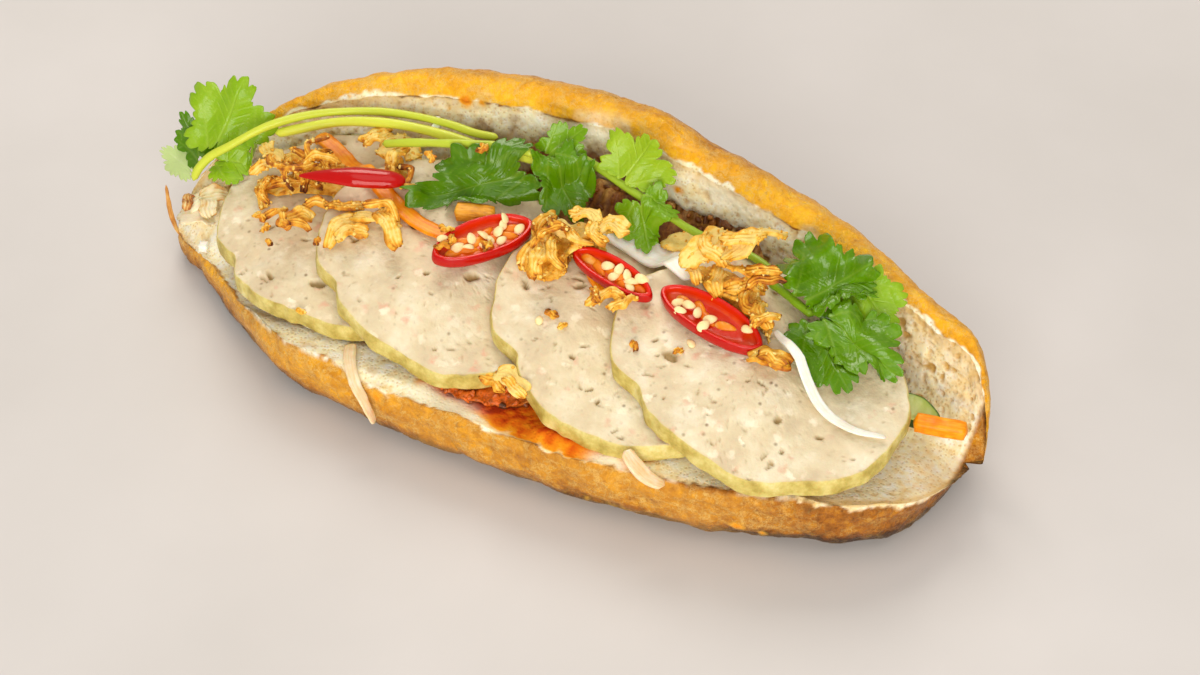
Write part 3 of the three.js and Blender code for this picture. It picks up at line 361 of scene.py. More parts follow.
small, small_number = cells(roll * [1, 1, 0.8], 2.3, 11)
large, large_number = cells(roll * [0.8, 1, 1], 5.2, 21)
tiny, tiny_number = cells(roll, 1.45, 16)
open_crumb = 0.3 + upper_crumb * (0.4 + 0.3 * step(20, 80, x))
pore = open_crumb * (step(0.42, 0.15, small + 0.2 * grain(roll, 1.1, 13)) * (0.25 + 0.75 * small_number)
                     + 0.6 * step(0.45, 0.15, tiny) * tiny_number
                     + 1.3 * step(0.36, 0.1, large + 0.2 * grain(roll, 1.5, 14))
                     * step(0.55, 0.8, large_number))
crumb_relief = (0.16 * grain(roll, 6.5, 31) + 0.20 * grain(roll, 2.4, 32) + 0.26 * grain(roll, 1.25, 33)
                - 0.75 * pore) * (1 - 0.6 * lower_crumb)
crust_relief = (0.34 * grain(roll, 11, 41) + 0.2 * grain(roll * [1, 1.5, 1.5], 3.4, 42)
                + 0.13 * grain(roll, 1.3, 46)
                - 0.28 * step(0.09, 0.0, np.abs(grain(roll * [0.7, 1, 1], 12, 43)))
                - 0.2 * step(0.12, 0.0, np.abs(grain(roll * [0.8, 1, 1], 6, 47))))
flaky = fade(on_crust - 0.4, 1.6) * (0.35 * grain(roll, 1.2, 44)
                                     + 0.3 * np.maximum(0, grain(roll * [0.6, 1, 1], 3.4, 45)))
relief = crust * crust_relief + (1 - crust) * (crumb_relief - 0.25 * fade(on_crust, 2.6)) + flaky
held = step(0.4, 3.0, z) * step(0, 0.25, full)    # the underside stays flat
roll = roll + normal * (relief * held)[..., None]
roll[..., 2] = np.maximum(roll[..., 2], 0)
x, y, z = np.moveaxis(roll, -1, 0)

# darker low down: painted shade where the roll curves under; baked darker at the right end and on the outer
# back; paler where the top was tented
outer = step(9, 22, from_rim) * back_crust
bake = np.clip(0.33 + 0.10 * grain(roll, 16, 51) + 0.06 * grain(roll, 5, 52) + 0.07 * grain(roll, 2, 53)
               + 0.45 * step(11, 1.5, z) + 0.2 * outer + 0.17 * step(96, 121, x) * (0.6 + 0.4 * outer)
               + front_crust * (0.04 + 0.14 * step(10, 80, x) - 0.12 * step(-70, -110, x))
               + (lower_crumb | upper_crumb) * 0.1 * step(58, 92, x)
               + lower_crumb * (0.16 + 0.2 * step(20, 60, x)) * fade(on_crust + 0.8, 2.0)
               + upper_crumb * (0.26 * fade(from_rim, 3.4) + 0.13 * step(-20, -50, x))
               - back_crust * 0.17 * fade(from_rim - 3, 7), 0, 1)
# chilli sauce soaked into the crumb in front of the middle slices, with splashes elsewhere
smear_y = -34.0 - 4.0 * step(-4, 26, x)
sauce = (fade(np.maximum(0, smear_y - y), 2.6 + 2.4 * step(-8, 8, x)) * below_cut * (1 - 0.8 * crust)
         * step(-25, -14, x) * (0.86 - 0.3 * step(0, 26, x) - 0.5 * step(38, 54, x)))
SPLASHES = [  # x, y, z, reach, strength
    (-45, 44, 50.5, 2.2, 0.5), (-40.5, 44, 51.5, 1.8, 0.5), (-50, 42, 47, 1.6, 0.4), (52, -42, 9, 2.0, 0.5),
    (74, -37, 9, 2.2, 0.5), (79, -34.5, 5, 2.4, 0.6), (36, 41, 33, 2.0, 0.6), (-64, -37, 18, 2.0, 0.4),
    (21, 43, 43, 1.8, 0.5), (-24, 43.5, 42, 2.0, 0.5), (-30, -42, 17, 2.4, 0.45), (-70, -33, 15, 1.6, 0.4)]
for *spot, reach, strength in SPLASHES:
    sauce = np.maximum(sauce, strength * fade(np.linalg.norm(roll - spot, axis=-1), reach))
sauce = np.clip(sauce * (1 + 0.5 * grain(roll, 3, 61) + 0.3 * grain(roll, 1.3, 62)), 0, 1)
spread = step(-34, -24, x) * step(16, 4, x) + step(26, 34, x) * step(74, 62, x) + 0.08
butter = np.clip(1.6 * fade(from_rim + 3.2, 2.6) * upper_crumb * spread
                 * (0.55 + 0.9 * grain(roll * [0.6, 1, 1], 6, 71)), 0, 1)
for *dab, reach in ((-9, -38.6, 20.5, 5.0), (-16, -37.5, 20.5, 4.0), (38, -39.5, 20, 3.6)):
    away = np.linalg.norm((roll - dab) * [0.6, 1, 1], axis=-1)
    butter = np.maximum(butter, 0.95 * fade(away, reach, 4))
bloom = np.clip(0.3 + 0.5 * grain(roll * [0.6, 1, 1], 9, 72), 0, 1) * step(100, 60, x)
butter = np.where(front_crust, bloom, butter)      # on the front crust the same share is flour
# mince and its fat cling to the foot of the standing half
up_wall = (z - hinge_z(x)) / (rim_z(x) - hinge_z(x))
meaty = (upper_crumb * step(0.44, 0.28, up_wall + 0.16 * grain(roll, 5, 73) - 0.42 * step(16, 0, x))
         * step(-48, -34, x) * step(88, 70, x) * np.clip(0.85 + 0.5 * grain(roll, 1.7, 74), 0, 1))


def tube(rings, numbers, tips=None):
    """A closed body from rings of points and one more point at each end. Gives its points, faces
    and named numbers; an end point takes the mean of the ring next to it."""
    count, around = rings.shape[:2]
    faces = []
    for a in range(0, (count - 1) * around, around):
        faces += [(a + i, a + around + i, a + around + (i + 1) % around, a + (i + 1) % around)
                  for i in range(around)]
    first, last_ring = count * around, (count - 1) * around
    for i in range(around):
        j = (i + 1) % around
        faces += [(first, i, j), (first + 1, last_ring + j, last_ring + i)]
    grids = {key: np.broadcast_to(grid, (count, around)) for key, grid in numbers.items()}
    tips = tips or [rings[0].mean(0), rings[-1].mean(0)]
    return (np.concatenate([rings.reshape(-1, 3), tips]), faces,
            {key: np.append(grid.reshape(-1), [grid[0].mean(), grid[-1].mean()])
             for key, grid in grids.items()})


def made_mesh(name, points, faces, numbers):
    """A closed mesh in metres from points in millimetres. It is turned the right way round: its
    volume has to be positive."""
    mesh = bpy.data.meshes.new(name)
    mesh.from_pydata((points * MM).tolist(), [], faces)
    for key, values in numbers.items():
        mesh.attributes.new(key, "FLOAT", "POINT").data.foreach_set("value", values.astype(np.float32))
    mesh.shade_smooth()
    mesh.calc_loop_triangles()
    corners = np.empty(len(mesh.loop_triangles) * 3, int)
    mesh.loop_triangles.foreach_get("vertices", corners)
    p = points[corners.reshape(-1, 3)]
    if np.einsum("ij,ij->i", p[:, 0], np.cross(p[:, 1], p[:, 2])).sum() < 0:
        mesh.flip_normals()
    return mesh


def placed(mesh, material, body_slot, *nodes):
    """The finished piece: it rides on the one body and stands for its CAD nodes."""
    mesh.materials.append(material)
    piece = in_scene(mesh.name, mesh)
    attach(piece, "root")
    if nodes:
        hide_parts(*nodes)


bread_mesh = made_mesh("bread_roll", *tube(
    roll, {"crust": crust, "bake": bake, "sauce": sauce, "butter": butter, "meaty": meaty,
           "pore": np.clip(pore * (1 - crust), 0, 1)},
    [(-ROLL_LEFT - 0.2, *POLE_LEFT), (ROLL_RIGHT + 0.5, POLE_RIGHT[0], POLE_RIGHT[1] + 0.5)]))


def flecks(tree, place, scale, channel, share, edge, strength):
    """How much of a fleck there is: `share` picks the cells that have one, `edge` is its soft edge."""
    bits = add(tree, "TexVoronoi", {"Vector": place, "Scale": scale})
    picked = add(tree, "SeparateColor", [bits.outputs["Color"]]).outputs[channel]
    return add(tree, "Math", [add(tree, "MapRange", [picked, *share]),
                              add(tree, "MapRange", [bits, *edge, strength, 0.0])], operation="MULTIPLY")


def finished(tree, shader_inputs, height, strength, depth):
    """Ends a material with its shader over fine relief."""
    relief = add(tree, "Bump", {"Height": height, "Strength": strength, "Distance": depth})
    shader = add(tree, "BsdfPrincipled", {**shader_inputs, "Normal": relief})
    add(tree, "OutputMaterial", [shader])


# baked wheat crust and open crumb: the crust is thin, glossy and crackled, golden where the sugars
# browned and tan where it was tented, with painted shade low down; the crumb is matt, cream and full of
# holes, with painted shade darkening its pores and holes
baked, tree, place, crust_at, bake_at, sauce_at, butter_at, pore_at, meaty_at = surface(
    "baked_wheat_bread", "crust", "bake", "sauce", "butter", "pore", "meaty")
smear = add(tree, "TexNoise", {"Vector": place, "Scale": 300.0, "Detail": 4.0})
soaked = add(tree, "Math", [smear, 0.55, sauce_at], operation="MULTIPLY_ADD")
soaked = add(tree, "MapRange", [soaked, 0.36, 1.3])
tinted = add(tree, "MapRange", [soaked, 0.02, 0.3])
sauce_colour = add(tree, "ValToRGB", [soaked], [
    (0.0, "#F8C84C"), (0.35, "#F49E1C"), (0.62, "#E6740F"), (0.85, "#CE4A0A"), (1.0, "#A42C08")])
fluff = add(tree, "TexNoise", {"Vector": place, "Scale": 260.0, "Detail": 6.0, "Roughness": 0.7})
holes = add(tree, "TexVoronoi", {"Vector": place, "Scale": 900.0})
crumb_colour = add(tree, "ValToRGB", [fluff], [(0.32, "#F8E0A8"), (0.47, "#FFF5D2"), (0.62, "#FFFDF0")])
# the pores and the small holes are painted darker here: painted shade in the holes
for share, over in ((add(tree, "MapRange", [bake_at, 0.44, 0.7, 0.0, 0.7]), "#DCB468"), (pore_at, "#CDA45C"),
                    (add(tree, "MapRange", [holes, 0.1, 0.36, 0.6, 0.0]), "#D0AA66"), (tinted, sauce_colour),
                    (butter_at, "#F8F0D6"), (meaty_at, "#84480F")):
    crumb_colour = add(tree, "MixRGB", [share, crumb_colour, over])

mottle = add(tree, "TexNoise", {"Vector": place, "Scale": 420.0, "Detail": 5.0, "Roughness": 0.65})
blister = add(tree, "TexVoronoi", {"Vector": place, "Scale": 330.0})
freckle = add(tree, "MapRange", [blister, 0.06, 0.2, 0.06, -0.04])
# the bake number also carries the painted shade low down on the crust
browned = add(tree, "Math", [mottle, 0.5, bake_at], operation="MULTIPLY_ADD")
crust_colour = add(tree, "ValToRGB", [add(tree, "Math", [browned, freckle])], [
    (0.26, "#FFC62A"), (0.44, "#F0AA18"), (0.6, "#CE8A1E"), (0.76, "#A2601A"), (0.9, "#6A3A12"),
    (1.0, "#3C1F0A")])
warped = add(tree, "MixRGB", [0.009, place, mottle.outputs["Color"]], blend_type="ADD")
flour = add(tree, "TexNoise", {"Vector": place, "Scale": 75.0, "Detail": 7.0, "Roughness": 0.7})
dusty = add(tree, "MapRange", [flour, 0.5, 0.75, 0.0, 0.3])
dusty = add(tree, "Math", [butter_at, 0.55, dusty], operation="MULTIPLY_ADD")
# pale lines: a fine crackle in patches and the edges of larger plates, both weaker on a dark bake
pale_bake = add(tree, "MapRange", [bake_at, 0.4, 0.62, 0.9, 0.2])
crackle, plates = (add(tree, "TexVoronoi", {"Vector": warped, "Scale": scale}, feature="DISTANCE_TO_EDGE")
                   for scale in (300.0, 110.0))
crack = add(tree, "Math", [add(tree, "MapRange", [crackle, 0.0, 0.1, 0.75, 0.0]),
                           add(tree, "MapRange", [flour, 0.44, 0.62, 0.15])], operation="MULTIPLY")
crack = add(tree, "Math", [crack, pale_bake], operation="MULTIPLY")
plate_edge = add(tree, "MapRange", [plates, 0.0, 0.04, 0.6, 0.0])
plate_line = add(tree, "Math", [plate_edge, pale_bake], operation="MULTIPLY")
for share, over in ((dusty, "#DFA244"), (plate_line, "#FCD680"), (crack, "#FCD684"),
                    (flecks(tree, warped, 240.0, 0, (0.8, 0.95), (0.1, 0.32), 0.5), "#8A4A12"),
                    (tinted, sauce_colour)):
    crust_colour = add(tree, "MixRGB", [share, crust_colour, over])

skin = add(tree, "TexNoise", {"Vector": place, "Scale": 900.0, "Detail": 3.0})
crust_height = add(tree, "MapRange", [add(tree, "MixRGB", [0.35, mottle, skin]), 0.3, 0.7, 0.0, 2.8])
for share, over in ((crack, "#000000"), (plate_edge, (2.8, 2.8, 2.8, 1))):
    crust_height = add(tree, "MixRGB", [share, crust_height, over])
crumb_height = add(tree, "MixRGB", [0.5, add(tree, "MapRange", [holes, 0.1, 0.5]), fluff])
finished(tree, {"Base Color": add(tree, "MixRGB", [crust_at, crumb_colour, crust_colour]),
                "Roughness": add(tree, "MapRange", [
                    crust_at, 0.0, 1.0, 0.88, add(tree, "MapRange", [mottle, 0.3, 0.7, 0.2, 0.42])]),
                "Subsurface Weight": add(tree, "MapRange", [crust_at, 0.0, 1.0, 0.35, 0.02]),
                "Subsurface Radius": (1.0, 0.8, 0.55), "Subsurface Scale": 0.003,
                "Specular IOR Level": 0.45, "Specular Tint": "#FFD496"},
         add(tree, "MixRGB", [crust_at, crumb_height, crust_height]), 0.5, 0.0005)
placed(bread_mesh, baked, "crusty_bread", "bread")

# ---------------------------------------------------------------- minced meat
# Dark fried mince spread over the lower half. It fills the fold behind the slices and shows as
# crumbly brown lumps there and between two slices in front.
GROUND_AT, CELL = np.array([-140.0, -60.0]), 0.8
CLEAR = 0.25                            # gap left under a piece that is laid
ground = np.full((350, 165), -1.0)      # height of what is laid so far, cell by cell


def cell_of(points):
    place = np.round((points[..., :2] - GROUND_AT) / CELL).astype(int)
    return np.moveaxis(np.clip(place, 2, np.array(ground.shape) - 3), -1, 0)


def lay(points):
    """Records a dense surface, so that the next pieces come to lie on it."""
    np.maximum.at(ground, tuple(cell_of(points)), points[..., 2])


def under(points, reach=1):
    """The highest ground within `reach` cells of each point."""
    i, j = cell_of(points)
    steps = range(-reach, reach + 1)
    return np.max([ground[i + di, j + dj] for di in steps for dj in steps], axis=0)


lay(roll[(roll[..., 2] < 26) & below_cut])      # the lower half

HAM_LONG, HAM_WIDE, HAM_TURN, HAM_THICK = 41.6, 32.8, math.radians(-8), 5.6
HAM_NOTCH, HAM_NOTCH_AT, HAM_SAG = 3.2, 3.79, 0.42      # depth and angle of the nick, sag for each mm
HAM_OVER = 0.75         # how far a slice lies above the one before it
HAM_AT = [(-60.6, 1.6), (-25.6, -2.0), (30.3, -4.7), (65.2, -2.8)]


def rest_z(x, y):
    """Where the first slice lies: it rises towards the hinge and drops at the left tip."""
    return 20.9 + 0.14 * (y + 38) - 4.5 * step(-70, -108, x)


def turned(a, b, angle):
    return a * np.cos(angle) - b * np.sin(angle), a * np.sin(angle) + b * np.cos(angle)


def oval(angle):
    """Radius of a slice in the direction `angle` from its own long axis."""
    return HAM_LONG * HAM_WIDE / np.hypot(HAM_WIDE * np.cos(angle), HAM_LONG * np.sin(angle))


def ham_edge(k, x, y):
    """Distance outside the oval of slice k."""
    u, v = turned(x - HAM_AT[k][0], y - HAM_AT[k][1], -HAM_TURN)
    return np.hypot(u, v) - oval(np.arctan2(v, u))


def crumb_scatter():
    """A node tree: strews small rounded crumbs over a mesh, except where its attribute "bare" is 1,
    and gives everything one material."""
    tree = bpy.data.node_groups.new("strewn_crumbs", "GeometryNodeTree")
    for label, kind in (("Geometry", "Geometry"), ("Crumbs per square metre", "Float"),
                        ("Crumb size", "Float"), ("Seed", "Int"), ("Finish", "Material")):
        tree.interface.new_socket(label, in_out="INPUT", socket_type="NodeSocket" + kind)
    tree.interface.new_socket("Geometry", in_out="OUTPUT", socket_type="NodeSocketGeometry")
    given = add(tree, "NodeGroupInput").outputs
    mesh, seed = given["Geometry"], given["Seed"]
    bare = add(tree, "GeometryNodeInputNamedAttribute", {"Name": "bare"}, data_type="FLOAT")
    share = add(tree, "Math", [1.0, bare], operation="SUBTRACT")
    density = add(tree, "Math", [given["Crumbs per square metre"], share], operation="MULTIPLY")
    spots = add(tree, "GeometryNodeDistributePointsOnFaces", {"Mesh": mesh, "Density": density, "Seed": seed})
    crumb = add(tree, "GeometryNodeMeshIcoSphere", {"Radius": given["Crumb size"], "Subdivisions": 2})
    squash, turn = (add(tree, "FunctionNodeRandomValue", {"Min": low, "Max": high, "Seed": seed},
                        data_type="FLOAT_VECTOR")
                    for low, high in (((0.35, 0.35, 0.3), (1.25, 1.0, 0.8)), ((0, 0, 0), (6.28, 6.28, 6.28))))
    crumbs = add(tree, "GeometryNodeInstanceOnPoints",
                 {"Points": spots, "Instance": crumb, "Rotation": turn, "Scale": squash})
    brown = add(tree, "FunctionNodeRandomValue", {2: 0.0, 3: 0.42, "Seed": seed}, data_type="FLOAT")
    crumbs = add(tree, "GeometryNodeStoreNamedAttribute",
                 {"Geometry": crumbs, "Name": "brown", "Value": brown.outputs[1]},
                 data_type="FLOAT", domain="INSTANCE")
    crumbs = add(tree, "GeometryNodeRealizeInstances", {"Geometry": crumbs})
    both = add(tree, "GeometryNodeJoinGeometry", {"Geometry": crumbs})
    tree.links.new(mesh, both.inputs["Geometry"])
    smooth = add(tree, "GeometryNodeSetShadeSmooth", {"Geometry": both})
    coloured = add(tree, "GeometryNodeSetMaterial", {"Geometry": smooth, "Material": given["Finish"]})
    add(tree, "NodeGroupOutput", {"Geometry": coloured})
    return tree


CRUMB_TREE = crumb_scatter()


def strewn(mesh, density, size, seed, finish):
    """The mesh with crumbs strewn over it. Density is in crumbs for each square centimetre, size in mm."""
    carrier = in_scene("carrier", mesh)
    modifier = carrier.modifiers.new("crumbs", "NODES")
    modifier.node_group = CRUMB_TREE
    given = {"Crumbs per square metre": density * 1e4, "Crumb size": size * MM, "Seed": seed,
             "Finish": finish}
    for item in CRUMB_TREE.interface.items_tree:
        if item.in_out == "INPUT" and item.name in given:
            modifier[item.identifier] = given[item.name]
    plain = bpy.data.meshes.new_from_object(carrier.evaluated_get(bpy.context.evaluated_depsgraph_get()))
    bpy.data.objects.remove(carrier)
    plain.name = mesh.name + "_crumbed"
    plain.materials.clear()
    return plain


MEAT_FROM, MEAT_TO, MEAT_HALF = -96, 94, 96.5
MEAT_STATIONS, MEAT_ACROSS = 300, 74
MEAT_RISE = 9.5                         # how much higher it lies behind the slices
LUMP, SMALL_LUMP = 3.4, 1.7             # sizes of its lumps
u = np.linspace([0], [1], MEAT_ACROSS, axis=1)
x = MEAT_FROM + (MEAT_TO - MEAT_FROM) * np.linspace([0], [1], MEAT_STATIONS)
end = np.sqrt(np.maximum(0.02, 1 - (np.abs(x + 1) / MEAT_HALF) ** 6))
gap = step(-24, -16, x) * step(14, 6, x)
front = (4 + (-24.0 - 9.5 * gap + 1.5 * np.sin(x * 0.21) - 4) * end + 6 * step(50, 94, x)
         + 8 * step(-60, -96, x))
rear = hinge_y(x) - 2.2
y = front + (rear - front) * u
x = x + 0 * y
near = np.min([ham_edge(k, x, y) for k in range(4)], axis=0)
rise = step(4.5, 9, near) * step(26, 33, y) * MEAT_RISE * step(-75, -50, x) * step(88, 66, x)
bump = 0.5 * lumps(x * 3, y * 3, 7)
z = rest_z(x, y) - 1.3 - 0.8 * step(-55, -75, x) + np.minimum(0, bump) + rise * (1 + 0.12 * bump)
bottom = crumb_z(x, y) + 1.5
z = z + 1.2 * gap * step(-20, -26, y)
z = bottom + (z - bottom) * end * np.sqrt(np.clip(u * 5, 0, 1))
z = np.maximum(z, crumb_z(x, y) + 1.7)
lean_back = step(0.84, 1, u) * step(0, 6, z - rest_z(x, y) + 1)
y = y + lean_back * (np.minimum(wall_y(x, z) - 1.9, rear + 6) - y)
top = np.stack([x, y, z], -1)
mince, mince_number = cells(top, LUMP, 81)
crumbly, _ = cells(top, SMALL_LUMP, 86)
in_gap = gap * step(-19, -24, y)
free = np.maximum(step(-0.5, 3.5, near), in_gap)            # nothing lies on the mince there
raised = (free + 0.5 * in_gap) * ((0.5 - mince) * 2.4 + (0.5 - crumbly) * 0.9 + 0.6 * grain(top, 6, 88))
top[..., 2] += raised
top[..., 1] -= 0.5 * raised * step(20, 30, top[..., 1])
low_y = np.minimum(y, rear)
bed = np.stack([x, low_y, np.minimum(crumb_z(x, low_y) + 0.4, top[..., 2] - 0.3)], -1)
bed = bed[:, ::-3]                      # the hidden underside is coarser and has no crumbs on it
hidden = np.ones(bed.shape[:2])
meat_mesh = made_mesh("mince_bed", *tube(np.concatenate([top, bed], 1), {
    key: np.concatenate([shown, hidden * below], 1) for key, shown, below in (
        ("deep", mince, 1), ("brown", mince_number, 0.5), ("sauced", gap * step(-22, -27, y), 0),
        ("bare", 0 * mince, 1))}))

# fried minced pork: moist brown lumps with a fatty shine, painted nearly black as shade in the gaps between
# them
minced, tree, place, deep_at, brown_at, sauced_at = surface("fried_mince", "deep", "brown", "sauced")
fibre = add(tree, "TexNoise", {"Vector": place, "Scale": 700.0, "Detail": 5.0, "Roughness": 0.7})
mixed = add(tree, "Math", [brown_at, 0.45, fibre], operation="MULTIPLY_ADD")
meat_colour = add(tree, "ValToRGB", [mixed], [
    (0.35, "#5C2D0A"), (0.6, "#945218"), (0.85, "#BC7E30"), (1.0, "#DAA656")])
# painted shade: the deeper into a gap between lumps, the darker
shut = add(tree, "MapRange", [deep_at, 0.4, 0.9, 0.0, 0.8])
soaking = add(tree, "MapRange", [fibre, 0.36, 0.6, 0.3])
wetted = add(tree, "Math", [sauced_at, soaking], operation="MULTIPLY")
for share, over in ((shut, "#361A06"), (wetted, "#E46A0C")):
    meat_colour = add(tree, "MixRGB", [share, meat_colour, over])
finished(tree, {"Base Color": meat_colour, "Roughness": 0.42, "Coat Weight": 0.15, "Coat Roughness": 0.3},
         fibre, 0.6, 0.0008)
meat_mesh = strewn(meat_mesh, density=9, size=1.35, seed=3, finish=minced)
meat_mesh.name = "fried_mince_filling"
placed(meat_mesh, minced, "minced_meat", "meat_filling")
lay(top)

# ---------------------------------------------------------------- cucumber
# A raw round of cucumber, half under the last slice: pale wet flesh inside a thin dark skin.
CUCUMBER_AT, CUCUMBER_R, CUCUMBER_THICK = (103, 5.2), 10.5, 3.0
CUCUMBER_CUT = CUCUMBER_AT[1] + 2.6       # halved across
CUCUMBER_PROFILE = [  # share of the radius, share of the thickness
    (0.3, 1), (0.62, 1), (0.8, 1), (0.93, 1), (0.975, 0.98), (1.0, 0.85), (1.005, 0.5), (1.0, 0.15),
    (0.975, 0.02), (0.8, 0), (0.4, 0)]


def columns(rows):
    """The columns of a table, each as an upright array."""
    return (np.array(values)[:, None] for values in zip(*rows))


def ring_angles(count):
    return np.arange(count) / count * 2 * math.pi


f, h = columns(CUCUMBER_PROFILE)
angle = ring_angles(96)
r = CUCUMBER_R * f * (1 + 0.008 * np.sin(5 * angle) + 0.006 * np.sin(11 * angle))
px, py = r * np.cos(angle), r * np.sin(angle)
rings = np.stack([CUCUMBER_AT[0] + px, CUCUMBER_AT[1] + py, CUCUMBER_THICK * h + 0.07 * py], -1)
rings[..., 1] = np.maximum(rings[..., 1], CUCUMBER_CUT + 0.02 * (rings[..., 1] - CUCUMBER_CUT))
rings[..., 2] += 0.12 * grain(rings, 2.4, 91)
rings[..., 2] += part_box("cucumber_slice")[0][2] / MM - rings[..., 2].min()

# raw cucumber: wet, slightly see-through flesh, paler under a dark green skin
raw_cucumber, tree, place, out_at = surface("raw_cucumber", "out")
speckle = add(tree, "TexNoise", {"Vector": place, "Scale": 500.0, "Detail": 4.0})
at = add(tree, "Math", [speckle, 0.03, out_at], operation="MULTIPLY_ADD")
flesh = add(tree, "ValToRGB", [at], [
    (0.3, "#C6CE7A"), (0.78, "#B4C25C"), (0.93, "#9DB244"), (0.975, "#35631A"), (1.0, "#1C3F0B")])
finished(tree, {"Base Color": flesh, "Roughness": 0.28, "Subsurface Weight": 0.15, "Subsurface Scale": 0.002},
         speckle, 0.3, 0.0005)
placed(made_mesh("cucumber_round", *tube(rings, {"out": f})), raw_cucumber, "cucumber", "cucumber_slice")
lay(rings)

# ---------------------------------------------------------------- pork roll slices
# Four slices of steamed pork roll, shingled over the mince: a fine pale paste with air holes,
# pepper specks and pink lean bits, and an olive-yellow outside with a nick where it was tied.


def ham_under(k, x, y):
    """Underside of slice k, coming down off the slice before it."""
    b = rest_z(x, y)
    if k == 0:
        return b
    c = ham_under(k - 1, x, y) + HAM_THICK + HAM_OVER - HAM_SAG * np.maximum(0, ham_edge(k - 1, x, y))
    m, w = np.maximum(b, c), 1.2        # w: how gently it bends from one onto the other
    return m + w * np.log(np.exp((b - m) / w) + np.exp((c - m) / w))


# torn holes: slice, place in the slice's own frame, length, width, depth, turn (mm, radians)
HOLES = [(0, 4, -21, 5.2, 2.4, 1.4, 0.1), (0, -20, -11, 3.2, 1.2, 1.0, 1.2),
         (0, -9, -25.5, 3.6, 1.6, 1.6, 2.4), (0, 14, -9, 2.2, 1.2, 0.8, 0.4),
         (1, -21, 6, 4.6, 1.3, 1.8, 2.2), (1, -17, 3.5, 4.4, 1.5, 2.0, 2.4),
         (1, -13, 5, 2.6, 1.2, 1.0, 0.6), (1, 8, -3, 5.0, 2.4, 1.2, 0.7), (1, 11, 17, 5.4, 2.0, 1.4, 0.4),
         (1, -3, -9, 1.8, 1.3, 1.0, 0.0), (1, -9, -14, 1.8, 1.0, 1.0, 1.0), (1, 27, 9, 3.0, 1.2, 1.0, 2.0),
         (1, -27, -9, 2.6, 1.8, 1.6, 1.4), (2, -20, 3, 4.6, 2.2, 1.2, 0.6),
         (2, -33, -4, 4.2, 1.6, 1.8, 2.2), (2, -6, 8, 3.2, 1.6, 1.0, 0.9),
         (2, -10, -16, 2.0, 1.4, 1.2, 0.2), (2, 2, -22, 2.6, 1.4, 1.2, 1.8),
         (3, -21, -11, 5.4, 3.0, 1.2, 2.5), (3, -27, -9, 2.6, 1.4, 1.2, 0.9), (3, 2, 0, 4.6, 2.6, 1.1, 2.8),
         (3, 13, -13, 2.6, 2.0, 1.1, 1.0), (3, 24, -10, 2.2, 1.3, 1.0, 0.5),
         (3, -8, 12, 3.4, 1.0, 0.9, 2.6), (3, 18, -19, 2.2, 1.1, 1.2, 1.3)]
# pork roll paste: satin and damp, cream with pink and straw patches and pepper specks, its pits and
# torn holes painted darker as shade; the steamed outside is olive-yellow and a little darker in its creases
pork_paste, tree, place, side_at, pit_at = surface("steamed_pork_roll", "side", "pit")
patch = add(tree, "TexNoise", {"Vector": place, "Scale": 95.0, "Detail": 5.0, "Roughness": 0.6})
torn = add(tree, "TexNoise", {"Vector": place, "Scale": 420.0, "Detail": 4.0})
torn_place = add(tree, "MixRGB", [0.0045, place, torn.outputs["Color"]], blend_type="ADD")
crease = add(tree, "TexNoise", {"Vector": place, "Scale": 160.0, "Detail": 5.0, "Roughness": 0.65})
outside = add(tree, "ValToRGB", [crease], [
    (0.34, "#A8923E"), (0.47, "#C6B25C"), (0.58, "#D8C878"), (0.72, "#EADCA0")])
slice_colour = add(tree, "ValToRGB", [patch], [
    (0.32, "#D0BE9E"), (0.46, "#DBCBA8"), (0.56, "#E2D5B5"), (0.7, "#EDE4CB")])
for share, over in (
        (flecks(tree, torn_place, 270.0, 0, (0.72, 0.95), (0.1, 0.45), 0.7), "#E0A98C"),      # lean
        (flecks(tree, torn_place, 300.0, 2, (0.6, 1.0), (0.2, 0.5), 0.8), "#FBF2DA"),         # fat
        (flecks(tree, place, 430.0, 1, (0.8, 1.0), (0.05, 0.3), 0.9), "#7A5F3C"),             # pepper
        # the pits and torn holes are painted darker: painted shade
        (pit_at, "#A88B58"), (add(tree, "MapRange", [side_at, 0.15, 0.75]), outside)):
    slice_colour = add(tree, "MixRGB", [share, slice_colour, over])
paste_grain = add(tree, "TexNoise", {"Vector": place, "Scale": 900.0, "Detail": 4.0, "Roughness": 0.6})
finished(tree, {"Base Color": slice_colour, "Roughness": 0.5, "Specular IOR Level": 0.4,
                "Subsurface Weight": 0.12, "Subsurface Scale": 0.003}, paste_grain, 0.35, 0.0006)

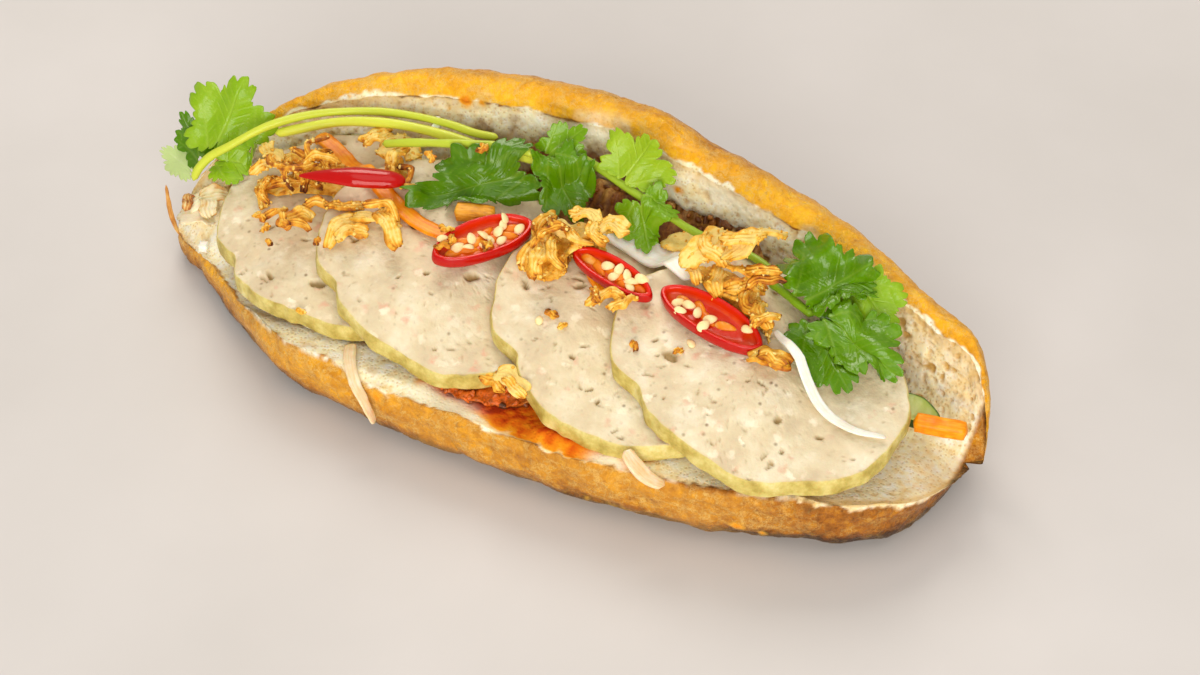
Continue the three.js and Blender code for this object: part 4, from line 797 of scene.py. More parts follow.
TOP_LEVELS, RIM_LEVELS = 62, 15
levels = [(f, 1.0, 0.0) for f in np.linspace(0.02, 0.975, TOP_LEVELS)]        # radius, height, side
levels += [(0.982 + 0.018 * math.sin(a) ** 0.6, 0.5 + 0.5 * math.cos(a),
            math.sin(a) ** 0.35 if 0 < a < 3.14 else 0.0) for a in np.linspace(0, math.pi, RIM_LEVELS)]
levels += [(f, 0.0, 0.0) for f in np.linspace(0.95, 0.05, 12)]
level_r, level_h, level_side = columns(levels)
angle = ring_angles(320)
for k, (cx, cy) in enumerate(HAM_AT):
    rim = oval(angle - HAM_TURN)
    at_rim = np.stack([cx + rim * np.cos(angle), cy + rim * np.sin(angle), 0 * angle + 9 * k], -1)[None]
    from_nick = np.arctan2(np.sin(angle - HAM_NOTCH_AT), np.cos(angle - HAM_NOTCH_AT))
    flute = (0.22 * np.sin(31 * angle + 3 * k) * np.maximum(0, np.sin(3 * angle + k))
             + 0.35 * np.sin(14 * angle + 2 * k))
    rim = (rim + 0.55 * grain(at_rim, 7, 171) + 0.3 * grain(at_rim, 2.6, 172)
           - HAM_NOTCH * fade(from_nick, 0.15) + 0.45 * np.sin(5 * angle + k) + 0.3 * np.sin(9 * angle))
    r = rim * level_r + flute * level_side * (1 - level_h)
    x, y = cx + r * np.cos(angle), cy + r * np.sin(angle)
    points = np.stack([x, y, ham_under(k, x, y) + HAM_THICK * level_h], -1)
    is_top = (level_h > 0.97) * (1 - level_side)
    flat = points * [1, 1, 0]
    bent = flat + np.stack([1.6 * grain(flat, 2.2, 151), 1.6 * grain(flat, 2.2, 152), 0 * x], -1)
    pit = 0
    for place, size, seed, deepest, (wide, narrow), (few, many) in (
            (bent * [0.75, 1.7, 0], 4.2, 101 + 10 * k, 1, (0.27, 0.1), (0.5, 0.95)),
            (bent * [1.3, 0.9, 0], 2.6, 106 + 10 * k, 0.75, (0.3, 0.08), (0.55, 1.0)),
            (flat, 1.2, 161 + k, 0.4, (0.34, 0.1), (0.4, 1.0))):
        away, number = cells(place, size, seed)
        pit = np.maximum(pit, deepest * step(wide, narrow, away) * step(few, many, number))
    depth = 0.9 * pit
    for _, u, v, long, wide, deep, turn in (hole for hole in HOLES if hole[0] == k):
        hx, hy = turned(u, v, HAM_TURN)
        a, b = turned(x - (cx + hx), y - (cy + hy), -turn)
        ragged = 1 + 0.35 * grain(points, 1.6, 141)
        hole = step(1.05, 0.6, np.hypot(a / (long / 2), b / (wide / 2)) * ragged)
        depth, pit = np.maximum(depth, deep * hole), np.maximum(pit, hole)
    if k == 3:
        depth = depth + 0.5 * fade(x - cx - 18 - 0.25 * (y - cy), 0.9) * step(-2, -16, y - cy)     # a crease
    points[..., 2] += is_top * (0.2 * grain(points, 5, 111 + k) + 0.13 * grain(points, 1.5, 121 + k) - depth)
    sideways = level_side * 0.22 * grain(points, 2.2, 131 + k)
    points[..., 0] += sideways * np.cos(angle)
    points[..., 1] += sideways * np.sin(angle)
    near_rim = np.clip(level_side + 0.30 * step(2.2, 0.2, rim - r) * is_top, 0, 1)
    mesh = made_mesh(f"pork_roll_slice_{k + 1}", *tube(points, {"side": near_rim, "pit": pit * is_top}))
    placed(mesh, pork_paste, "pork_roll", f"ham_slice_{k + 1}")
    lay(points[:TOP_LEVELS + 12])       # its top and most of its rim

# ---------------------------------------------------------------- pickled carrot and radish
# Julienned carrot and white radish from a sweet vinegar pickle: wet, limp strips of square
# section with cut marks along them, laid over and tucked under the slices.


def spline(points, count):
    """Evenly spaced points on a smooth curve (centripetal Catmull-Rom) through `points`."""
    p = np.array(points, float)
    p = np.concatenate([[2 * p[0] - p[1]], p, [2 * p[-1] - p[-2]]])
    line = []
    for i in range(1, len(p) - 2):
        gaps = np.linalg.norm(np.diff(p[i - 1:i + 3], axis=0), axis=1)
        knots = np.cumsum([0, *np.maximum(gaps, 1e-6) ** 0.5])
        for t in np.linspace(knots[1], knots[2], 24, endpoint=i == len(p) - 3):
            between = p[i - 1:i + 3]
            for wide in (1, 2):
                between = [((knots[j + wide] - t) * between[j] + (t - knots[j]) * between[j + 1])
                           / (knots[j + wide] - knots[j]) for j in range(4 - wide)]
            line.append(((knots[2] - t) * between[0] + (t - knots[1]) * between[1]) / (knots[2] - knots[1]))
    line = np.array(line)
    run = np.concatenate([[0], np.cumsum(np.linalg.norm(np.diff(line, axis=0), axis=1))])
    at = np.linspace(0, run[-1], count)
    return np.stack([np.interp(at, run, line[:, k]) for k in range(3)], -1)


def frames(line):
    """Side and up vectors along a line."""
    ahead = np.gradient(line, axis=0)
    ahead /= np.linalg.norm(ahead, axis=1, keepdims=True)
    side = np.cross(ahead, [0, 0, 1.0])
    side /= np.maximum(np.linalg.norm(side, axis=1, keepdims=True), 1e-6)
    return side, np.cross(side, ahead)


def laid(line, half_wide, half_high, slack=0.02):
    """Lets a limp strip down onto the ground; it bridges the small dips."""
    side = frames(line)[0]
    z = np.max([under(line + side * s) for s in (-half_wide, 0, half_wide)], axis=0) + half_high + CLEAR
    for _ in range(40):     # rounds enough to bridge a dip of a few centimetres
        z[1:-1] = np.maximum(z[1:-1], (z[:-2] + z[2:]) / 2 - slack)
    smooth = z.copy()
    for _ in range(3):
        smooth[1:-1] = (smooth[:-2] + 2 * smooth[1:-1] + smooth[2:]) / 4
    return np.column_stack([line[:, :2], np.maximum(smooth, z - 0.1)])


def round_line(line, across, upwards):
    """Rings round a line: for each of its points, how far the ring's points lie to the side and up."""
    side, up = frames(line)
    return line[:, None] + side[:, None] * across[..., None] + up[:, None] * upwards[..., None]


def strip(line, wide, high, seed, taper=0.0, twist=0.0, corner=4.0, rough=0.1):
    """Rings of a strip of rounded oblong section."""
    u = np.linspace(0, 1, len(line))[:, None]
    close = np.sqrt(np.clip(1 - (np.abs(2 * u - 1)) ** 30, 0.02, 1)) * (1 - taper * np.abs(2 * u - 1) ** 2)
    angle = ring_angles(20)
    c, s = np.cos(angle), np.sin(angle)
    box = (np.abs(c) ** corner + np.abs(s) ** corner) ** (-1 / corner)
    a, b = turned(c * box * wide / 2, s * box * high / 2, twist * (u - 0.5))
    rings = round_line(line, a * close, b * close)
    out = rings - line[:, None, :]
    out /= np.maximum(np.linalg.norm(out, axis=-1, keepdims=True), 1e-6)
    ripple = rough * grain(rings, 1.6, seed) + 0.5 * rough * grain(rings, 4.5, seed + 1)
    return rings + out * ripple[..., None]


def strip_mesh(name, rings):
    n, around = rings.shape[:2]
    return made_mesh(name, *tube(rings, {"along": np.linspace([0], [1], n),
                                         "turn": np.arange(around) / around}))


def pickle_finish(name, colours, roughness, clearness):
    """Wet pickled root: fine fibres run along the strip and the colour is uneven."""
    material, tree, place, turn, along = surface(name, "turn", "along")
    thread = add(tree, "CombineXYZ", [turn, along])
    stretched = add(tree, "Mapping", {"Vector": thread, "Scale": (26, 3, 1)})
    fibre = add(tree, "TexNoise", {"Vector": stretched, "Scale": 1.0, "Detail": 3.0})
    blotch = add(tree, "TexNoise", {"Vector": place, "Scale": 350.0, "Detail": 4.0})
    mixed = add(tree, "MixRGB", [0.5, fibre, blotch])
    colour = add(tree, "ValToRGB", [mixed], list(zip((0.36, 0.5, 0.64), colours)))
    finished(tree, {"Base Color": colour, "Roughness": roughness, "Specular IOR Level": 0.24,
                    "Subsurface Weight": clearness, "Subsurface Scale": 0.002,
                    "Coat Weight": 0.08, "Coat Roughness": 0.1}, mixed, 0.35, 0.0006)
    return material


carrot_finish = pickle_finish("pickled_carrot", ("#EE7E00", "#FC9604", "#FFB224"), 0.38, 0.02)
radish_finish = pickle_finish("pickled_radish", ("#F0E8D8", "#FAF5EA", "#FFFDF8"), 0.26, 0.3)
fried_carrot = pickle_finish("fried_carrot", ("#C47A14", "#ECA024", "#FFC250"), 0.5, 0.05)
shred_finish = pickle_finish("stained_radish_shred", ("#EDC48C", "#F3D6AC", "#FAE6CC"), 0.26, 0.3)
toasted_shallot = pickle_finish("toasted_shallot", ("#A4662A", "#C98A3E", "#E0B468"), 0.5, 0.1)

STRIPS = [  # node, finish, slot, width, height, taper, twist, draped or stiff, route in x and y
    ("carrot_strip_1", carrot_finish, "pickled_carrot", 5.0, 1.1, 0.1, 0.15, True,
     [(-86, 28.5), (-78, 24.6), (-68, 18.6), (-57, 11.8), (-47.5, 6.6), (-39, 3.4), (-33, 2.4),
      (-28.5, 2.6)]),
    ("carrot_strip_2", fried_carrot, "pickled_carrot", 5.2, 3.4, 0.05, 0.2, False,
     [(-31.5, 9.5), (-26, 11.6), (-20.5, 12.8)]),
    ("carrot_strip_3", carrot_finish, "pickled_carrot", 4.4, 2.4, 0.55, 0.2, True,
     [(9.5, 9.5), (13.5, 5), (17.5, 0.5)]),
    ("carrot_strip_4", carrot_finish, "pickled_carrot", 4.6, 4.0, 0.05, 0.3, False,
     [(106.4, 4.0), (113.4, 5.2), (120.6, 6.6)]),
    ("radish_strip_1", radish_finish, "pickled_radish", 8.8, 1.1, 0.3, 0.2, True,
     [(9.5, 21.8), (18, 22.4), (27, 20.6), (34.5, 16.5), (39, 13.5)]),
    ("radish_strip_3", radish_finish, "pickled_radish", 3.0, 2.4, 0.0, 0.0, False,
     [(-107, -7.4), (-104.4, -6.6)]),
    ("shred_front_right", shred_finish, "pickled_shreds", 4.6, 1.0, 0.3, 0.3, True,
     [(42.6, -39.6), (47, -40.6), (51.2, -41.2), (55, -41.4)]),
]
for seed, (node, finish, slot_name, wide, high, taper, twist, limp, route) in enumerate(STRIPS):
    length = sum(math.dist(a, b) for a, b in zip(route, route[1:]))
    line = spline([(*p, 0) for p in route], max(12, int(length / 0.7)))
    if limp:
        line = laid(line, wide / 2, high / 2)
    else:
        line[:, 2] = (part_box(node)[0][2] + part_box(node)[1][2]) / 2 / MM
    rings = strip(line, wide, high, 200 + seed, taper, twist, corner=9)
    placed(strip_mesh(node.replace("_strip", "_pickle"), rings), finish, slot_name, node)
    lay(rings)

# this shred hangs down over the crust in front
line = spline([(-43.5, -30.5, 21.9), (-41.6, -34.6, 21.9), (-39, -38.6, 21.6), (-36, -42, 20.4),
               (-32.6, -43.8, 16.8), (-30.4, -44.4, 12.8), (-29.2, -44.6, 10.2)], 44)
fan = np.linspace(1.25, 0.9, len(line))[:, None, None]       # torn wide at the top, narrow below
rings = line[:, None] + (strip(line, 3.0, 0.7, 260, 0.0, 0.5, rough=0.16) - line[:, None]) * fan
placed(strip_mesh("shred_over_edge", rings), shred_finish, "pickled_shreds", "shred_front_left")

# ---------------------------------------------------------------- toasted flakes and fried onions
# Onion sliced thin, floured and deep fried until crisp: curled golden ribbons with browned edges,
# heaped with their own crumbs. Paler toasted flakes lie on the left tip of the roll.
BEDS_IN = 2.0           # how far a crisp may sink into the heap
FRIED_CRUMB = 0.62      # radius


def joined(parts):
    """Several bodies as one: each is (points, faces, numbers)."""
    starts = np.cumsum([0] + [len(points) for points, _, _ in parts])
    faces = [tuple(i + start for i in face)
             for start, part in zip(starts.tolist(), parts) for face in part[1]]
    return (np.concatenate([points for points, _, _ in parts]), faces,
            {key: np.concatenate([numbers[key] for _, _, numbers in parts]) for key in parts[0][2]})


def crisp(x, y, length, wide, turn, bend, arch, thick, roll_over, tone, seed, batter=0.42, cup=0.35,
          frill=1.0):
    """One crisp of onion in its batter, let down onto the ground."""
    wave = np.random.default_rng(seed).random(6) * 6.28
    u, v = np.linspace([-1], [1], 38), np.linspace([-1], [1], 15, axis=1)
    half = wide / 2 * (0.45 + 0.55 * np.sqrt(1 - np.abs(u) ** 5 * 0.9)) * (
        1 + frill * (0.24 * np.sin(u * 4.1 + wave[0]) + 0.14 * np.sin(u * 9.7 + wave[1])))
    off = half * (v + 0.22 * frill * np.sin(u * 6 + wave[2]) * np.sign(v) * v**2)
    tear = frill * np.abs(u) ** 4 * np.sign(u) * 0.32 * wide * np.sin(v * 3.4 + wave[3])
    ribs = np.sin(v * (2.2 * wide + 2) + 0.9 * np.sin(u * 3.1 + wave[0]) + wave[5]) * (1 - v**4)
    slant = np.arctan2(-2 * bend * 0.6 * u, 1)
    lean = roll_over + 0.5 * frill * np.sin(u * 2.3 + wave[5])
    px = u * length / 2 * (1 - 0.1 * abs(bend)) + tear - np.sin(slant) * off * np.cos(lean)
    py = (bend * length * 0.3 * (1 - u**2) + 0.05 * length * np.sin(u * 3.4 + wave[4])
          + np.cos(slant) * off * np.cos(lean))
    pz = (1 - u**2) * arch + off * np.sin(lean) + cup * (v**2 - 0.4) + 0.3 * np.sin(u * 5.3 + wave[1])
    px, py = turned(px, py, turn)
    mid = np.stack([x + px, y + py, pz], -1)
    slope = np.cross(np.gradient(mid, axis=0), np.gradient(mid, axis=1))
    slope /= np.maximum(np.linalg.norm(slope, axis=-1, keepdims=True), 1e-6)
    slope *= np.sign(slope[..., 2:].mean() or 1)
    thin = thick / 2 * (0.35 + 0.65 * np.sqrt(np.clip(1 - np.abs(v) ** 3, 0, 1))) * (1 - 0.5 * np.abs(u) ** 6)
    own = mid + np.array([seed * 7.0, 0, 0])       # each crisp has its own bubbles and browning
    bubbles, _ = cells(own, 1.9, 300)
    puffed = batter * (0.9 * (0.5 - bubbles) + 0.6 * grain(own, 2.8, 301) + 0.35 * grain(own, 0.9, 302))
    upper = mid + slope * np.maximum(thin + puffed + 0.2 * ribs, 0.12)[..., None]
    lower = mid - slope * np.maximum(thin - 0.6 * puffed, 0.12)[..., None]
    need = under(lower) + CLEAR - lower[..., 2]
    for side in (upper, lower):     # it beds in a little
        side[..., 2] += max(np.max(need) - BEDS_IN, np.percentile(need, 62))
    lay(upper)
    # browner at the edges; darker in the hollows between bubbles and ribs and lighter on their crests:
    # painted shade
    brown = np.clip(0.22 + tone + 0.16 * np.abs(v) ** 4 + 0.22 * np.abs(u) ** 6 + 0.2 * grain(own, 3.4, 303)
                    + 0.16 * grain(own, 1.2, 304) + 0.2 * (bubbles - 0.5) - 0.1 * ribs, 0, 1)
    return tube(np.concatenate([upper, lower[:, ::-1]], 1),
                {"brown": np.concatenate([brown, brown[:, ::-1]], 1)})


def crumb_bed(outline, seed, tall):
    """A low bed of fried crumbs inside an outline of (x, y) corners."""
    corners = np.array(outline, float)
    at = np.arange(72) / 72 * len(corners)
    i = at.astype(int)
    f = (at - i)[:, None]
    edge_line = corners[i % len(corners)] * (1 - f) + corners[(i + 1) % len(corners)] * f
    s = np.linspace([0.06], [1], 12)
    xy = corners.mean(0) + (edge_line[None] - corners.mean(0)) * s[..., None]
    flat = np.concatenate([xy, 0 * xy[..., :1]], -1)
    up, down = flat.copy(), flat.copy()
    down[..., 2] = under(flat) + CLEAR
    lumpy, number = cells(flat, 1.9, seed)
    high = ((tall * (1 - s**2.4) + 0.25) * (0.75 + 0.5 * (0.5 - lumpy))
            + 0.5 * grain(flat, 1.4, seed + 1) * (1 - s**4))
    up[..., 2] = down[..., 2] + np.maximum(high, 0.2)
    lay(up)
    # darker in the hollows between the lumps: painted shade; the rest varies at random
    tone = np.clip(0.12 + 0.35 * lumpy + 0.3 * (number - 0.5), 0, 1)
    return tube(np.concatenate([up, down[::-1]]), {"brown": np.concatenate([tone, tone[::-1]])})


def crisp_finish(name, scale, coarseness, stops, shader_inputs, depth):
    """Fried or toasted: a rough floury skin that browns from its edges."""
    material, tree, place, brown_at = surface(name, "brown")
    flour = add(tree, "TexNoise", {"Vector": place, "Scale": scale, "Detail": 5.0, "Roughness": coarseness})
    at = add(tree, "Math", [flour, 0.5, brown_at], operation="MULTIPLY_ADD")
    finished(tree, {"Base Color": add(tree, "ValToRGB", [at], stops), **shader_inputs}, flour, *depth)
    return material


# fried onion: crisp and oily, straw to golden with nut-brown edges
fried = crisp_finish("fried_onion", 650.0, 0.7, [
    (0.3, "#FFE084"), (0.48, "#F9C448"), (0.66, "#E39A1C"), (0.84, "#B4640E"), (1.0, "#6A3406")],
    {"Roughness": 0.5, "Specular IOR Level": 0.4, "Subsurface Weight": 0.1, "Subsurface Scale": 0.0015},
    (0.6, 0.0009))
# toasted flake: thin and dry, cream with a scorched edge
toasted = crisp_finish("toasted_flake", 500.0, 0.65, [
    (0.36, "#FBEFD0"), (0.6, "#F2DCA8"), (0.78, "#DDA85A"), (0.95, "#A8601F")],
    {"Roughness": 0.45, "Subsurface Weight": 0.2, "Subsurface Scale": 0.002}, (0.4, 0.0008))

FLAKES = [  # x, y, length, width, turn, bend, arch, thickness, roll, tone, seed, batter, cup
    (-112.8, 1.4, 11, 8.0, 0.3, 0.1, 1.2, 0.8, 0.05, -0.1, 5, 0.05, 1.0),
    (-115.0, 7.0, 9.5, 7.0, 1.2, -0.1, 1.4, 0.8, -0.1, -0.06, 9, 0.05, -0.9),
    (-110.8, 8.4, 9.0, 5.6, 0.7, 0.1, 1.2, 0.8, 0.2, 0.0, 12, 0.05, 0.8),
    (-109.6, 3.6, 7.5, 5.2, 2.2, 0.1, 1.0, 0.8, 0.1, -0.08, 15, 0.05, 0.6),
    (-116.6, 3.6, 6.5, 3.0, 1.9, 0.2, 0.8, 0.8, 0.1, 0.3, 18, 0.1, 0.4)]
placed(made_mesh("toasted_flake_pair", *joined([crisp(*flake, frill=0.25) for flake in FLAKES])),
       toasted, "toasted_flakes", "toasted_flakes")


def heap(name, node, seed, bed, bits, tall=2.2, density=34, batter=0.42, frill=1.0):
    """Crumbs with crisps on them. A bit is (x, y, length, width, turn, bend, arch, thickness, roll, tone)."""
    parts = [crumb_bed(bed, seed, tall)] if bed else []
    parts += [crisp(*bit, seed + 13 * i, batter, frill=frill) for i, bit in enumerate(bits)]
    mesh = strewn(made_mesh(name, *joined(parts)), density, FRIED_CRUMB, seed, fried)
    mesh.name = name
    placed(mesh, fried, "fried_onion", node)


heap("fried_onions_over_first_slice", "fried_onions_left", 11,
     [(-91, 5), (-86, 4.4), (-80, 7), (-73, 8.4), (-67, 9.4), (-67, 12), (-71, 14.5), (-78, 15.5),
      (-85, 14), (-90, 10)],
     [(-88.6, 4.6, 13, 3.4, 1.75, 0.5, 1.0, 1.3, 0.3, -0.02),
      (-84, 8.4, 15, 2.8, 0.7, -0.4, 2.0, 1.4, 0.5, 0.1),
      (-80.5, 12.4, 14, 3.2, 2.75, 0.4, 2.0, 1.4, -0.3, 0.06),
      (-75, 11, 14, 2.4, 1.1, 0.7, 2.0, 1.3, 0.5, 0.16),
      (-71, 12.6, 12, 3.0, 0.2, -0.4, 1.8, 1.4, 0.2, 0.04),
      (-86.4, 13.6, 10, 4.6, 0.5, 0.3, 1.0, 1.3, -0.2, -0.14),
      (-86.4, 2.4, 12, 2.0, 2.0, 0.7, 1.0, 1.1, 0.1, 0.16),
      (-82, 10, 15, 1.9, 2.0, 0.8, 1.8, 1.2, 0.6, 0.2), (-77, 9, 15, 1.9, 2.4, -0.9, 1.8, 1.2, -0.5, 0.22),
      (-74, 8, 14, 1.8, 1.3, 0.9, 1.4, 1.1, 0.4, 0.16),
      (-69, 10.4, 13, 2.0, 2.8, 0.8, 1.4, 1.2, -0.3, 0.12),
      (-91, 8.4, 10, 3.4, 1.0, 0.3, 1.2, 1.2, 0.3, -0.1),
      (-79.6, 14.2, 13, 1.9, 0.3, -0.8, 1.6, 1.2, 0.5, 0.2),
      (-92, 13.4, 8.5, 5.0, 2.7, 0.2, 0.8, 1.1, 0.1, -0.24),
      (-83, 6, 13, 2.4, 3.0, 0.6, 1.2, 1.2, 0.3, 0.08), (-79, 5.6, 12, 2.0, 0.4, -0.6, 1.0, 1.2, 0.2, 0.14),
      (-76.4, 13.4, 13, 2.0, 1.7, 0.7, 1.4, 1.2, -0.5, 0.12),
      (-72.6, 8.2, 11, 2.2, 0.5, 0.5, 1.4, 1.1, 0.3, 0.0),
      (-68.6, -0.4, 10, 3.0, 0.35, 0.3, 1.0, 1.2, 0.2, 0.06),
      (-61.8, 1.8, 11, 3.2, 0.5, -0.3, 1.0, 1.2, 0.2, 0.0)],
     1.5, 20, 0.2, 0.5)
heap("fried_onion_bits_behind_chilli", "fried_onion_bits_left", 17,
     [(-61, 23.5), (-57, 18.5), (-52, 14), (-48.5, 13.5), (-49, 16.5), (-53, 20.5), (-56, 25), (-60, 27)],
     [(-57.4, 25.6, 12, 7.0, 0.3, 0.3, 1.4, 1.5, 0.2, -0.26),
      (-64.6, 26.4, 9, 5.0, 0.9, 0.3, 1.0, 1.3, 0.2, -0.14),
      (-53, 17, 11, 2.6, 2.5, 0.7, 1.6, 1.5, 0.4, 0.15),
      (-50.6, 14.4, 11, 1.9, 2.2, -0.8, 1.4, 1.2, -0.3, 0.25),
      (-55, 21.6, 8, 3.0, 1.4, 0.5, 1.2, 1.5, 0.2, -0.05),
      (-48.6, 12.6, 9, 1.8, 2.9, 0.8, 1.0, 1.1, 0.4, 0.22)],
     1.4, 16, 0.24, 0.5)
heap("fried_onion_flakes_on_first_slice", "fried_onion_flakes_left", 41, None,
     [(-71.5, -8.0, 9.5, 4.6, 0.9, 0.8, 1.4, 1.6, 0.3, -0.02),
      (-70.5, -11, 9, 2.6, 0.1, 0.5, 0.6, 1.3, 0.0, 0.08), (-78, -9, 9, 2.0, 1.1, 0.5, 0.6, 1.2, 0.1, 0.2),
      (-73.6, -10.4, 6, 2.4, 2.4, 0.5, 0.8, 1.3, 0.4, 0.05)],
     density=8, batter=0.24, frill=0.4)
heap("fried_shallot_chip_in_gap", "fried_shallot_front", 83, None,
     [(0.4, -31.4, 8, 4.6, -0.2, 0.3, 0.8, 1.1, 0.1, 0.1),
      (6.4, -32.8, 11, 5.4, -0.35, 0.25, 1.0, 1.2, 0.35, -0.3),
      (8.6, -35.4, 9, 2.6, -0.4, 0.2, 0.6, 1.0, 0.1, -0.2)], density=4, batter=0.12, frill=0.35)
heap("fried_onion_bit_at_back", "fried_onion_bits_back", 59, None,
     [(29, 27.6, 9.5, 8.2, 0.2, 0.1, 0.8, 2.0, -0.2, -0.3)], density=10,
     batter=0.2, frill=0.35)

# ---------------------------------------------------------------- coriander
# Fresh coriander: long pale stems laid along the roll and soft, lobed and toothed leaves that
# stand, fold or lie over what is under them. Each sprig is stems and leaflets of one plant.
LEAF_THICK, LEAF_AROUND, LEAF_RINGS = 0.36, 216, 24
LEAF_MIDDLE, LOBES = 0.42, 5        # share of its length from the foot, lobes of a leaflet
LEAF_FACE = (0.25, -0.6, 0.75)      # which way most leaflets face
LEAF_CLEAR, WALL_GAP = 0.35, 1.3    # under a leaf, and between it and the standing half
STEM_STIFF = 0.07                   # how steeply a stem comes down off what lifts it


def first_draw(seed):
    """The first number from the small generator that also shapes the solid leaves."""
    s = (seed + 0x6D2B79F5) & 0xFFFFFFFF
    t = ((s ^ (s >> 15)) * (1 | s)) & 0xFFFFFFFF
    t = ((t + (((t ^ (t >> 7)) * (61 | t)) & 0xFFFFFFFF)) ^ t) & 0xFFFFFFFF
    return ((t ^ (t >> 14)) & 0xFFFFFFFF) / 4294967296


def draped(mid):
    """A leaf lifted softly off what lies under it and kept in front of the standing half."""
    for reach, rounds in ((2, 6), (1, 2)):
        lift = np.maximum(0, under(mid, reach) + 0.5 - mid[..., 2])
        for _ in range(rounds):
            beside = np.roll(lift, 1, 1), np.roll(lift, -1, 1)
            soft = lift.copy()
            soft[1:-1] = (lift[:-2] + lift[2:] + beside[0][1:-1] + beside[1][1:-1]) / 4
            soft[-1] = (lift[-2] + beside[0][-1] + beside[1][-1]) / 3
            lift = np.maximum(soft, np.maximum(0, under(mid) + LEAF_CLEAR - mid[..., 2]))
        mid[..., 2] += lift
    x, y, z = np.moveaxis(mid, -1, 0)
    wall = wall_y(x, z) - WALL_GAP
    mid[..., 1] = np.where((z < rim_z(x) + 1) & (y > wall) & (x > -112), wall, y)
    return mid


def leaflet(foot, tip, width, seed, face=LEAF_FACE, wave=1.0, lobes=1.0, tone=0.5, curl=0.8, drape=True):
    """One lobed leaflet from its foot to its tip."""
    foot, tip, face = (np.array(v, float) for v in (foot, tip, face))
    length = np.linalg.norm(tip - foot)
    u = (tip - foot) / length
    n = face - u * (face @ u)
    n /= np.linalg.norm(n)
    w = np.cross(n, u)
    ph = first_draw(seed) * 6.28
    a = ring_angles(LEAF_AROUND) - math.pi
    s = np.linspace([0.05], [1], LEAF_RINGS)
    lobe = 0.5 + 0.5 * np.cos(LOBES * a)
    uneven_a = a + 0.05 * np.sin(3 * a + ph) + 0.03 * np.sin(8 * a - ph)
    saw = (uneven_a * 20 / (2 * math.pi) + ph) % 1
    tooth = np.sin(math.pi * np.clip(saw * 1.06, 0, 1)) ** 0.6
    fine_saw = (uneven_a * 41 / (2 * math.pi)) % 1
    fold_in = 1 - 0.25 * step(2.2, 3.14, np.abs(a))
    smooth_r = (0.72 + 0.20 * lobe * lobes) * fold_in
    toothed_r = (0.50 + (0.37 * lobe**0.42 + 0.05 * np.sin(2 * a + ph)) * lobes + 0.14 * tooth
                 + 0.03 * np.sin(math.pi * fine_saw)) * fold_in
    r = s * (smooth_r + (toothed_r - smooth_r) * s**1.6)
    px, py = r * np.cos(a) * length * 0.58, r * np.sin(a) * width * 0.54
    pz = wave * (0.9 * np.sin(px * 0.32 + ph) + 0.7 * np.sin(py * 0.6 - ph) - 0.012 * py**2)
    # veins run from the foot to each lobe, with side veins leaving them at a slant
    vein = side_vein = 0 * px
    best = 0 * px + 99
    for j in range(-2, 3):
        aj = j * 2 * math.pi / LOBES
        e = np.array([LEAF_MIDDLE * length + 0.52 * length * math.cos(aj), 0.49 * width * math.sin(aj)])
        reach = np.linalg.norm(e)
        e /= reach
        vx, vy = px + LEAF_MIDDLE * length, py
        t = np.clip(vx * e[0] + vy * e[1], 0, reach)
        off = vy * e[0] - vx * e[1]
        d = np.hypot(vx - t * e[0], vy - t * e[1])
        vein = np.maximum(vein, fade(d, 0.42 - 0.22 * t / reach) * (1 - 0.6 * t / reach))
        branch = ((t - 0.85 * np.abs(off)) / 2.7 + 0.5 * (off > 0)) % 1
        side_vein = np.where(d < best, fade((branch - 0.5) * 2.7, 0.2) * step(0.0, 1.0, d), side_vein)
        best = np.minimum(best, d)
    veins = np.maximum(vein, 0.55 * side_vein * step(1, 0.85, s))
    mid = foot + u * length * LEAF_MIDDLE + px[..., None] * u + py[..., None] * w + pz[..., None] * n
    rumple = curl * (1.9 * grain(mid + seed * 3.1, 9, 311) * s**1.5
                     + 1.0 * grain(mid + seed * 1.7, 4.2, 312) * s)
    mid = mid + n * rumple[..., None]
    if drape:
        mid = draped(mid)
    pucker = 0.26 * (0.4 - veins) * (1 - 0.5 * s**4)
    thin = LEAF_THICK / 2 * (1 - 0.6 * s**6)
    upper, lower = (mid + n * (side * thin + pucker)[..., None] for side in (1, -1))
    lay(upper)
    lay(lower)
    return tube(np.concatenate([upper, lower[::-1]]),
                {"vein": np.concatenate([veins, veins[::-1]]),
                 "below": np.repeat([0, 1], LEAF_RINGS)[:, None], "tone": tone})


def stem(route, r0, r1, tone, seed):
    line = spline(route, max(20, int(sum(math.dist(p, q) for p, q in zip(route, route[1:])))))
    u = np.linspace(0, 1, len(line))
    radius = r0 + (r1 - r0) * u
    lift = np.maximum(0, under(line) + radius + 0.2 - line[:, 2])
    apart = np.abs(np.arange(len(line))[:, None] - np.arange(len(line)))
    lift = np.max(lift - STEM_STIFF * apart, axis=1).clip(0)      # a stem is stiff and bridges dips
    for _ in range(60):
        lift[1:-1] = (lift[:-2] + 2 * lift[1:-1] + lift[2:]) / 4
    line[:, 2] += lift
    angle = ring_angles(14)
    ridge = 1 + 0.06 * np.cos(7 * angle) + 0.05 * np.sin(u * 23 + seed)[:, None]
    reach = radius[:, None] * ridge * np.sqrt(np.clip(1 - np.abs(2 * u - 1) ** 60, 0.05, 1))[:, None]
    rings = round_line(line, reach * np.cos(angle), reach * np.sin(angle))
    lay(rings)
    return tube(rings, {"vein": 0, "below": 0, "tone": tone + 1})


